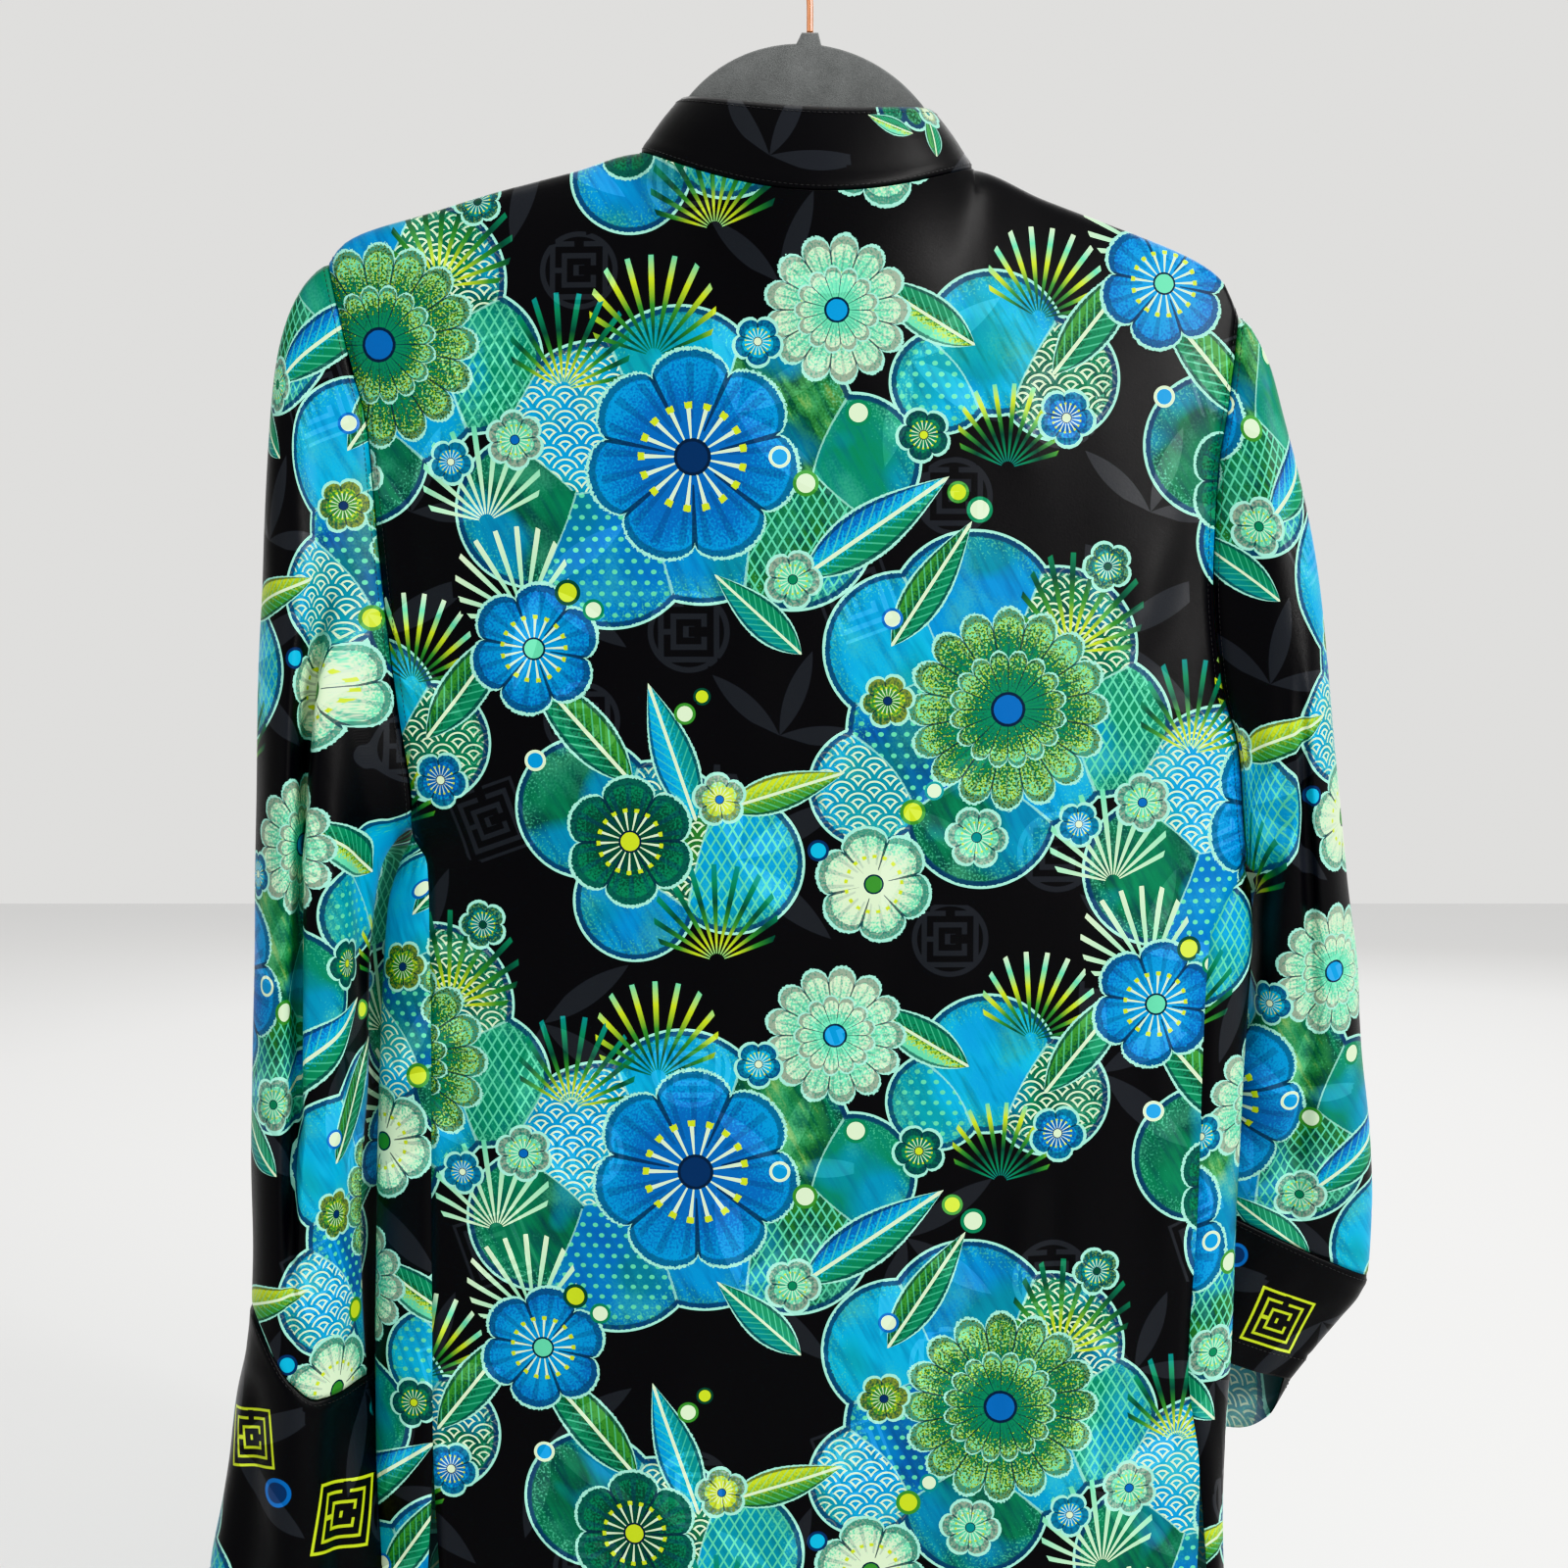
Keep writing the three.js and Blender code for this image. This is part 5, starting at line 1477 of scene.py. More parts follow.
class SilkPrint:
    """Draws the motifs that the faces of a cloth name, in millimetres of its pattern."""

    def __init__(self, silk: "PrintedSilk", board: Board) -> None:
        """Lays out the pattern's place and its noises.

        Args:
            silk: The finish.
            board: The board of its material.
        """
        u, v, _ = board.split(board.node("ShaderNodeUVMap", uv_map="cloth").outputs[0])
        self.silk, self.board = silk, board
        self.across, self.up = u * (1.0 / MM), v * (1.0 / MM)
        self.place = board.join(self.across, self.up)
        self.grain = board.noise(0.9, flat=self.place)
        self.wash = board.noise(0.035, 2.0, flat=self.place)
        slanted = board.join(self.across * 0.9 + self.up * 0.5, self.up * 0.12 - self.across * 0.06)
        self.streak = board.noise(0.28, 2.0, flat=slanted)
        self.rim, self.ink = linear(silk.rim), linear(silk.ink)
        self.ground = Paint(board, linear(silk.colour))

    def local(self, name: str, turn: Optional[Field] = None) -> tuple[Field, Field, Field]:
        """The place in the nearest motif, as shares of its radius, and that radius.

        Args:
            name: The layer's name.
            turn: How far the motif is turned.

        Returns:
            The shares across and up, and the radius.
        """
        x, y, radius = self.board.attribute(name)
        dx, dy = (self.across - x) / radius, (self.up - y) / radius
        if turn is None:
            return dx, dy, radius
        cosine, sine = turn.cos(), turn.sin()
        return dx * cosine + dy * sine, dy * cosine - dx * sine, radius

    def clouds(self) -> None:
        """The scalloped clouds on the ground."""
        board, grain, wash, streak = self.board, self.grain, self.wash, self.streak
        scores, tones = [], []
        for name in ("cloud", "cloud_next"):
            x, y, radius = board.attribute(name)
            scores.append(board.length(self.across - x, self.up - y) - radius)
            tones.append(board.attribute(name + "_0"))
        edge = scores[0].least(scores[1])
        swap = scores[1].under(scores[0])
        first, second, fill = [a + (b - a) * swap for a, b in zip(*tones)]
        inner = (scores[0] - scores[1]).abs()
        mixed = (wash * 0.7 + streak * 0.5 + grain * 0.12 - 0.28).ramp(0.12, 0.88)
        pool = board.noise(0.016, 2.0, flat=self.place)
        cloud = Paint(board, board.blend(first, second, mixed))
        cloud.lay(pool.ramp(0.52, 0.64) * 0.62, TURQUOISE)
        cloud.lay(pool.ramp(0.48, 0.36) * 0.5, EMERALD)
        cloud.lay((streak - 0.35).ramp(0.1, 0.4) * 0.28, NAVY)
        cloud.lay((wash + grain * 0.3 - 0.68).ramp(0.0, 0.25) * 0.3, MINT)
        cloud.lay(fill.band(0.5, 1.5) * self.waves(), CREAM)
        cloud.lay(fill.band(1.5, 2.5) * self.net() * 0.9, MINT)
        cloud.lay(fill.band(2.5, 3.5) * self.dots(), MINT)
        chalk = (grain * 1.5 - edge.abs() * 0.035 - 0.62).ramp(0.0, 0.12) * edge.under(-3.0)
        cloud.lay(chalk * 0.5, MINT)
        cloud.lay((edge + streak * 16.0).ramp(-2.0, 9.0) * 0.4, FOREST)
        shared = (inner + grain * 1.2).under(1.4) * edge.under(-3.0)
        cloud.lay(shared * 0.6, self.rim)
        cloud.lay((edge + grain * 1.4).band(-2.9, -0.4) * 0.85, NAVY)
        cloud.lay((edge + grain * 0.9).over(-0.8) * edge.under(0.0), self.rim)
        self.ground.lay(edge.under(0.0), cloud)

    def waves(self) -> Field:
        """Rows of overlapping fans of rings."""
        tall = self.up * (1.0 / 5.5)
        shift = ((tall - tall.fraction()) * 0.5).fraction()
        x = ((self.across * (1.0 / 15.0) + shift).fraction() - 0.5) * 15.0
        far = self.board.length(x, tall.fraction() * 5.5 + 2.0)
        return (far * 0.36).fraction().under(0.3) * far.under(9.5)

    def net(self) -> Field:
        """A slanted net of thin lines."""
        one = ((self.across + self.up * 0.6) * (1.0 / 5.2)).fraction().under(0.2)
        return one.most(((self.across - self.up * 0.6) * (1.0 / 5.2)).fraction().under(0.2))

    def dots(self) -> Field:
        """Staggered small spots."""
        tall = self.up * (1.0 / 5.0)
        x = (self.across * (1.0 / 6.0) + (tall - tall.fraction()) * 0.5).fraction() - 0.5
        return self.board.length(x, tall.fraction() - 0.5).under(0.22)

    def bloom(self, name: str) -> None:
        """Flowers seen from above, each with a ring of petals, and a second ring where it has many."""
        board, grain = self.board, self.grain
        px, py, radius = self.local(name)
        turn, petals, notch = board.attribute(name + "_0")
        first, second, heart = board.attribute(name + "_1")
        line = (radius * 0.0 + self.silk.line) / radius
        far = board.length(px, py) * (grain * 0.05 + 0.97)
        angle = py.angle_to(px) + turn
        half = angle * petals * 0.5
        cosine, sine = half.cos().abs(), half.sin().abs()
        rim = far / (cosine.power(0.5) * notch + (-notch + 1.0))
        inner = far / ((sine.power(0.5) * notch + (-notch + 1.0)) * 0.58)
        double = petals.over(8.5) * inner.under(1.0)
        share = rim + (inner - rim) * double
        seam = (cosine + (sine - cosine) * double).under(0.12) * share.over(0.3)
        stipple = (share * 1.25 + (grain - 0.5) * 1.5 + (self.wash - 0.5) * 0.8 - 0.45).ramp(0.25, 0.75)
        flower = Paint(board, board.blend(second, first, stipple))
        vein = (angle * petals * 3.0).cos().over(0.55) * share.band(0.35, 0.86)
        flower.lay(vein * 0.35, NAVY)
        flower.lay(seam * 0.85, self.ink)
        flower.lay(share.over(line * -3.2 + 1.0) * 0.6, linear(self.silk.shade))
        flower.lay(share.over(-line + 1.0), self.rim)
        single = double * -1.0 + 1.0
        spokes = (angle * 17.0).cos()
        flower.lay(spokes.over(0.7) * far.band(0.12, 0.44) * single * 0.9, CREAM)
        flower.lay(spokes.over(0.3) * far.band(0.44, 0.5) * single, LIME)
        flower.lay(far.under(0.17), self.ink)
        flower.lay(far.under(0.14), board.dye(heart))
        self.ground.lay(rim.under(1.0), flower)

    def sprigs(self, name: str) -> None:
        """Leaves and bursts of needles."""
        board = self.board
        turn, width, kind = board.attribute(name + "_0")
        first, second, _ = board.attribute(name + "_1")
        px, py, _ = self.local(name, turn)
        side = py.abs()
        reach = width * (-(px * px) + 1.0).most(0.001) * (px * -0.35 + 1.0)
        share = side / reach + (self.grain - 0.5) * 0.08
        mixed = (py * 3.0 + self.grain - 0.5).ramp(-0.3, 0.5)
        leaf = Paint(board, board.blend(first, second, mixed))
        leaf.lay(((px - side * 1.3) * 6.5).fraction().under(0.2) * 0.5, MINT)
        leaf.lay(side.under(0.022), CREAM)
        leaf.lay(share.band(0.76, 0.9) * 0.7, self.ink)
        leaf.lay(share.over(0.9), self.rim)
        self.ground.lay(kind.under(0.5) * share.under(1.0) * px.abs().under(1.0), leaf)
        far = board.length(px + 0.75, py) * 0.58
        angle = py.angle_to(px + 0.75)
        needle = (angle * 26.0).cos().over(far * 0.9 - 0.1) * far.band(0.08, 0.98)
        inside = board.length(px, py).under(1.06) * angle.abs().under(1.3)
        self.ground.lay(kind.over(0.5) * needle * inside, board.blend(first, second, far))

    def berries(self) -> None:
        """Small round berries."""
        px, py, _ = self.local("berry")
        first, rim, _ = self.board.attribute("berry_0")
        far = self.board.length(px, py)
        berry = Paint(self.board, self.board.dye(rim))
        berry.lay(far.under(0.72), self.board.dye(first))
        self.ground.lay(far.under(1.0), berry)

    def key(self, px: Field, py: Field, thick: float) -> Field:
        """A maze of nested squares: the outer ones open at the top, the inner ones at one side."""
        level = px.abs().most(py.abs()) * 3.3
        outer = level.over(2.0)
        top = px.abs().under(0.12) * py.over(0.0) * outer
        side = py.abs().under(0.12) * px.over(0.0) * (-outer + 1.0)
        bar = px.band(-0.62, -0.34) * py.abs().under(0.07)
        return (level.fraction().under(thick) * (-(top.most(side)) + 1.0)).most(bar)

    def frets(self) -> None:
        """Outlined square frets of the cuffs."""
        turn, first, _ = self.board.attribute("fret_0")
        px, py, _ = self.local("fret", turn)
        edge = px.abs().most(py.abs())
        dye, inside = self.board.dye(first), edge.under(1.0)
        self.ground.lay(inside * self.key(px, py, 0.3) * 0.9, dye)
        self.ground.lay(inside * edge.over(0.93), dye)

    def woven(self) -> Field:
        """The tone-on-tone motifs: round and square keys and bamboo leaves, 1 where the satin shows."""
        turn, kind, _ = self.board.attribute("woven_0")
        px, py, _ = self.local("woven", turn)
        far = self.board.length(px, py)
        key = self.key(px, py, 0.46)
        square = kind.band(0.5, 1.5) * px.abs().most(py.abs()).under(1.0) * key
        round_one = kind.under(0.5) * far.under(1.0) * (key.most(far.over(0.86)))
        angle, leaves = py.angle_to(px), self.silk.leaves
        swing = ((angle * (leaves / math.pi) + 0.5).fraction() - 0.5) * (math.pi / leaves)
        along, aside = far * swing.cos(), far * swing.sin()
        bamboo = kind.over(1.5) * aside.abs().under(along * (-along + 1.0) * 0.44) * angle.abs().under(1.5)
        return square.most(round_one).most(bamboo)


@dataclass(frozen=True)
class PrintedSilk:
    """The finish of the printed jacquard silk."""

    colour: tuple[int, int, int] = (11, 11, 13)
    rim: tuple[int, int, int] = (150, 214, 196)
    ink: tuple[int, int, int] = (6, 26, 52)
    shade: tuple[int, int, int] = (4, 40, 60)
    roughness: float = 0.42
    specular: float = 0.2
    sheen: float = 0.08
    sheen_roughness: float = 0.35
    weave: float = 0.55
    twill: float = 0.55
    line: float = 1.5
    leaves: float = 2.6
    framed: bool = False

    def material(self, name: str) -> Material:
        """Makes the material, with the name that is given."""
        gloss = {"Specular IOR Level": self.specular, "Sheen Weight": self.sheen}
        gloss["Sheen Roughness"] = self.sheen_roughness
        material, shader, board = plain_material(name, self, gloss)
        silk = SilkPrint(self, board)
        silk.clouds()
        for layer in ("sprig_next", "sprig"):
            silk.sprigs(layer)
        for layer in ("bloom", "blossom"):
            silk.bloom(layer)
        silk.berries()
        if self.framed:
            silk.frets()
        grain, woven = silk.grain, silk.woven()
        reverse, _, _ = board.attribute("reverse")
        # Painted sheen: the colour is brightened by up to a quarter on the woven motifs and darkened a
        # little elsewhere, as if their satin caught the light.
        painted_sheen_lift = {"Color": silk.ground, "Value": woven * 0.32 + 0.93}
        print_with_painted_sheen = Paint(board, board.node("ShaderNodeHueSaturation", painted_sheen_lift).outputs[0])
        # Painted sheen: a faint blue-grey laid over the woven motifs, which shows on the black ground.
        print_with_painted_sheen.lay(woven * 0.026, (0.6, 0.66, 0.76))
        print_with_painted_sheen.lay(reverse * 0.5, (0.16, 0.19, 0.2))
        board.give(shader.inputs["Base Color"], print_with_painted_sheen)
        rough = woven.plus(-0.09, self.roughness) + (grain - 0.5) * 0.05 + reverse * 0.12
        board.give(shader.inputs["Roughness"], rough)
        twill = ((silk.across + silk.up) * (2.0 * math.pi / self.twill)).sin() * 0.25 + grain * 0.5
        board.relief(shader, twill, self.weave, 0.1)
        return material


@dataclass(frozen=True)
class Thread:
    """The finish of the sewing thread."""

    colour: tuple[int, int, int] = (20, 20, 23)
    roughness: float = 0.55

    def material(self) -> Material:
        """Makes the material: twisted black polyester."""
        material, shader, board = plain_material("thread", self, {"Sheen Weight": 0.3})
        place = board.node("ShaderNodeTexCoord").outputs["Object"]
        given = {"Scale": 1400.0, "Vector": place}
        wave = board.node("ShaderNodeTexWave", given, bands_direction="DIAGONAL")
        board.relief(shader, wave.outputs["Fac"], 0.6, 0.1)
        return material


@dataclass(frozen=True)
class Flock:
    """The finish of the flocked hanger: short dense pile."""

    colour: tuple[int, int, int] = (98, 100, 100)
    roughness: float = 0.95

    def material(self) -> Material:
        """Makes the material."""
        pile_look = {"Sheen Weight": 0.6, "Sheen Roughness": 0.4, "Specular IOR Level": 0.12}
        material, shader, board = plain_material("flock", self, pile_look)
        pile, worn = board.noise(2600.0, 2.0, 0.7), board.noise(90.0, 3.0, 0.6)
        tone = (pile * 0.75 + worn * 0.4 - 0.2).ramp(0.0, 0.8)
        tone = board.paint(toned(self.colour, 0.55), tone, toned(self.colour, 1.7))
        board.give(shader.inputs["Base Color"], tone)
        board.relief(shader, pile + worn * 0.5, 0.9, 0.4)
        return material


@dataclass(frozen=True)
class CopperWire:
    """The finish of the hook: copper-plated wire, drawn and lightly handled."""

    colour: tuple[int, int, int] = (222, 156, 118)
    roughness: float = 0.2

    def material(self) -> Material:
        """Makes the material."""
        material, shader, board = plain_material("copper_wire", self, {"Metallic": 1.0})
        stain, scuff = board.noise(160.0, 4.0, 0.6), board.noise(900.0, 3.0, 0.7)
        tone = board.paint(linear(self.colour), stain.ramp(0.45, 0.8) * 0.6, toned(self.colour, 0.62))
        board.give(shader.inputs["Base Color"], tone)
        board.give(shader.inputs["Roughness"], (stain * 0.5 + scuff * 0.5).plus(0.3, self.roughness - 0.1))
        board.relief(shader, scuff, 0.25, 0.1)
        return material


@dataclass(frozen=True)
class ButtonPlastic:
    """The finish of the buttons: black polished resin."""

    colour: tuple[int, int, int] = (16, 16, 19)
    roughness: float = 0.16

    def material(self) -> Material:
        """Makes the material."""
        material, shader, board = plain_material("button", self, {"Coat Weight": 0.4})
        cloud = board.noise(260.0, 3.0, 0.6)
        tone = board.paint(linear(self.colour), cloud.ramp(0.45, 0.75) * 0.5, toned(self.colour, 2.6))
        board.give(shader.inputs["Base Color"], tone)
        board.give(shader.inputs["Roughness"], cloud.plus(0.14, self.roughness - 0.04))
        return material


@dataclass(frozen=True)
class Studio:
    """The pale floor, the soft lights and the camera."""

    floor_z: float = -0.96
    floor_size: float = 6.0
    colour: tuple[int, int, int] = (226, 226, 226)
    roughness: float = 0.8
    camera_at: tuple[float, float, float] = (-0.012, -1.06425, -0.31193)
    camera_tilt: float = 84.0
    camera_angle: float = 38.63
    sky: float = 0.8

    def light(self, name: str, at: Vector, aim: Vector, size: float, power: float, warmth: float) -> None:
        """Adds one soft area light.

        Args:
            name: Name of the light.
            at: Its place.
            aim: The point that it shines at.
            size: Side of its square, in metres.
            power: Its power in watts.
            warmth: Share of blue that it lacks.
        """
        data = bpy.data.lights.new(name, "AREA")
        data.size, data.energy = size, power
        data.color = (1.0, 1.0 - warmth * 0.4, 1.0 - warmth)
        light = placed(name, data)
        light.location = at
        light.rotation_euler = (aim - at).to_track_quat("-Z", "Y").to_euler()

    def build(self) -> None:
        """Makes the studio."""
        scene = bpy.context.scene
        camera_data = bpy.data.cameras.new("camera")
        camera_data.sensor_fit = "HORIZONTAL"
        camera_data.angle = math.radians(self.camera_angle)
        camera_data.clip_start, camera_data.clip_end = 0.02, 60.0
        camera = placed("camera", camera_data)
        camera.location = self.camera_at
        camera.rotation_euler = (math.radians(self.camera_tilt), 0.0, 0.0)
        scene.camera = camera
        middle = Vector((0.0, 0.0, -0.42))
        self.light("key", Vector((1.7, -1.45, 0.65)), middle, 0.7, 58.0, 0.03)
        self.light("fill", Vector((-1.7, -1.5, 0.1)), middle, 1.8, 6.0, 0.0)
        self.light("top", Vector((0.1, 0.1, 1.6)), middle, 1.5, 12.0, 0.0)
        self.light("rear", Vector((0.3, 2.0, 0.5)), middle, 1.8, 16.0, 0.0)
        world = bpy.data.worlds.new("studio")
        world.use_nodes = True
        background = world.node_tree.nodes["Background"]
        background.inputs["Color"].default_value = (0.98, 0.975, 0.96, 1.0)
        background.inputs["Strength"].default_value = self.sky
        scene.world = world
        scene.view_settings.view_transform = "Khronos PBR Neutral"
        self.floor()

    def floor(self) -> Object:
        """The plain pale floor under the garment."""
        half = self.floor_size / 2.0
        mesh = bpy.data.meshes.new("floor")
        corners = [(-half, -half), (half, -half), (half, half), (-half, half)]
        mesh.from_pydata([(x, y, self.floor_z) for x, y in corners], [], [(0, 1, 2, 3)])
        mesh.materials.append(plain_material("floor", self)[0])
        return placed("floor", mesh)


def plain_material(name: str, finish: object, look: Optional[dict] = None) -> tuple[Material, Node, Board]:
    """A material with its surface shader.

    Args:
        name: Name of the material.
        finish: What gives its colour from 0 to 255 and its roughness.
        look: More of the shader's values, by their names.

    Returns:
        The material, its shader and a board to draw on.
    """
    material = bpy.data.materials.new(name)
    material.use_nodes = True
    material.node_tree.nodes.clear()
    board = Board(material.node_tree)
    values = {"Base Color": linear(finish.colour), "Roughness": finish.roughness, **(look or {})}
    shader = board.node("ShaderNodeBsdfPrincipled", values)
    board.node("ShaderNodeOutputMaterial", {"Surface": shader.outputs[0]})
    return material, shader, board


def ring_faces(rings: int, around: int) -> list[tuple[int, int, int, int]]:
    """The quads between closed rings of points."""
    steps = [(ring * around, j, (j + 1) % around) for ring in range(rings - 1) for j in range(around)]
    return [(base + j, base + k, base + around + k, base + around + j) for base, j, k in steps]


def rounded_mesh(name: str, points: ndarray, faces: Sequence[tuple[int, ...]]) -> Mesh:
    """A smooth mesh of points in millimetres, with its doubles joined and its faces turned outwards."""
    mesh = bpy.data.meshes.new(name)
    mesh.from_pydata((points * MM).tolist(), [], faces)
    work = bmesh.new()
    work.from_mesh(mesh)
    bmesh.ops.remove_doubles(work, verts=work.verts, dist=1e-6)
    bmesh.ops.recalc_face_normals(work, faces=work.faces)
    work.to_mesh(mesh)
    work.free()
    mesh.polygons.foreach_set("use_smooth", np.ones(len(mesh.polygons), bool))
    return mesh


def add_object(name: str, mesh: Mesh, material: Material) -> Object:
    """Puts a mesh into the scene as a piece of the tunic.

    Args:
        name: Name of the piece.
        mesh: Its mesh.
        material: Its material.

    Returns:
        The piece.
    """
    mesh.materials.clear()
    mesh.materials.append(material)
    piece = placed(name, mesh)
    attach(piece, "root")
    return piece


@dataclass
class Stitching:
    """Rows of stitches that Geometry Nodes lay along lines on the cloth."""

    material: Material
    pitch: float = 2.5
    length: float = 2.0
    thickness: float = 0.34
    rise: float = 0.12
    sway: float = 0.07

    def __post_init__(self) -> None:
        """Builds the node tree, with a socket for each of its named inputs."""

        def made(kind: str, inputs: Optional[dict] = None, **settings: object) -> NodeSocket:
            """The first output of a new node."""
            return board.node(kind, inputs, **settings).outputs[0]

        self.tree = bpy.data.node_groups.new("stitch_rows", "GeometryNodeTree")
        kinds = {"Pitch": "Float", "Length": "Float", "Thickness": "Float", "Turn": "Float", "Seed": "Int"}
        face, geometry = self.tree.interface, "NodeSocketGeometry"
        face.new_socket("Geometry", in_out="INPUT", socket_type=geometry)
        self.sockets = {
            name: face.new_socket(name, in_out="INPUT", socket_type="NodeSocket" + kind).identifier
            for name, kind in {**kinds, "Thread": "Material"}.items()
        }
        face.new_socket("Geometry", in_out="OUTPUT", socket_type=geometry)
        board = Board(self.tree)
        given = board.node("NodeGroupInput").outputs
        line = made("GeometryNodeMeshToCurve", {0: given["Geometry"]})
        steps = {"Curve": line, "Length": given["Pitch"]}
        points = made("GeometryNodeResampleCurve", steps, mode="LENGTH")
        ball = made("GeometryNodeMeshUVSphere", {"Segments": 6, "Rings": 5, "Radius": 0.5})
        smooth = made("GeometryNodeSetShadeSmooth", {0: ball})
        tangent = made("GeometryNodeInputTangent")
        out = made("GeometryNodeInputNamedAttribute", {"Name": "out"}, data_type="FLOAT_VECTOR")
        axes = {"primary_axis": "X", "secondary_axis": "Z"}
        lie = made("FunctionNodeAxesToRotation", {0: tangent, 1: out}, **axes)
        wobble = board.node("FunctionNodeRandomValue", {"Seed": given["Seed"]}, data_type="FLOAT")
        ends = [s for s in wobble.inputs if s.type == "VALUE" and s.enabled]
        ends[0].default_value, ends[1].default_value = -self.sway, self.sway
        sway = [s for s in wobble.outputs if s.type == "VALUE" and s.enabled][0]
        total = made("ShaderNodeMath", {0: sway, 1: given["Turn"]}, operation="ADD")
        swing = made("FunctionNodeAxisAngleToRotation", {"Axis": (0.0, 0.0, 1.0), "Angle": total})
        turned = made("FunctionNodeRotateRotation", {0: lie, 1: swing}, rotation_space="LOCAL")
        thick = given["Thickness"]
        size = made("ShaderNodeCombineXYZ", {0: given["Length"], 1: thick, 2: thick})
        laid = {"Points": points, "Instance": smooth, "Rotation": turned, "Scale": size}
        place = made("GeometryNodeInstanceOnPoints", laid)
        real = made("GeometryNodeRealizeInstances", {0: place})
        dressed = made("GeometryNodeSetMaterial", {0: real, "Material": given["Thread"]})
        board.node("NodeGroupOutput", {0: dressed})

    def sew(
        self, name: str, rows: Sequence[tuple[ndarray, ndarray]], slot: str,
        pitch: Optional[float] = None, length: Optional[float] = None, turn: float = 0.0,
    ) -> Object:
        """Sews rows of stitches as one piece.

        Args:
            name: Name of the piece.
            rows: The points of each row in millimetres, and the cloth's normals there.
            slot: The material slot of the cloth; not used.
            pitch: Distance between stitches.
            length: Length of a stitch.
            turn: Turn of the stitches from the row's direction, in radians.

        Returns:
            The piece.
        """
        points, edges = [], []
        for line, outward in rows:
            start = sum(len(p) for p in points)
            points.append((line + outward * self.rise) * MM)
            edges += [(start + i, start + i + 1) for i in range(len(line) - 1)]
        normals = np.concatenate([outward for _, outward in rows])
        mesh = bpy.data.meshes.new(name)
        mesh.from_pydata(np.concatenate(points).tolist(), edges, [])
        mark = mesh.attributes.new("out", "FLOAT_VECTOR", "POINT")
        mark.data.foreach_set("vector", normals.astype(np.float32).ravel())
        guide = placed(name + "_guide", mesh)
        modifier = guide.modifiers.new("stitches", "NODES")
        modifier.node_group = self.tree
        values = {
            "Pitch": (pitch or self.pitch) * MM, "Length": (length or self.length) * MM,
            "Thickness": self.thickness * MM, "Turn": turn, "Seed": len(name), "Thread": self.material,
        }
        for socket, value in values.items():
            modifier[self.sockets[socket]] = value
        depsgraph = bpy.context.evaluated_depsgraph_get()
        sewn = bpy.data.meshes.new_from_object(guide.evaluated_get(depsgraph), depsgraph=depsgraph)
        bpy.data.objects.remove(guide)
        sewn.name = name
        return add_object(name, sewn, self.material)


def seam_line(sheet: Sheet, away: float, from_end: bool, down: bool = False) -> tuple[ndarray, ndarray]:
    """A line on the cloth at an even distance from one of its edges.

    Args:
        sheet: The cloth.
        away: The distance in millimetres.
        from_end: Whether the edge is the last row or column, or the first.
        down: Whether the line runs down the columns, or along the rows.

    Returns:
        The line's points and the cloth's normals there.
    """
    both = np.concatenate([sheet.points, sheet.normals()], axis=2)
    if down:
        both = both.transpose(1, 0, 2)
    if from_end:
        both = both[::-1]
    run = running(norm(np.diff(both[..., :3], axis=0), axis=2))
    columns = zip(run.T, both.transpose(1, 0, 2))
    found = np.array([[np.interp(away, far, values) for values in column.T] for far, column in columns])
    if sheet.tube and not down:
        found = np.concatenate([found, found[:1]])
    return found[:, :3], found[:, 3:] / norm(found[:, 3:], axis=1, keepdims=True)


def body_rows_above_underarm(form: Form) -> int:
    """How many rows of the body panels lie along the armholes."""
    return int(np.sum(BodyPanels(form).levels() < form.underarm))


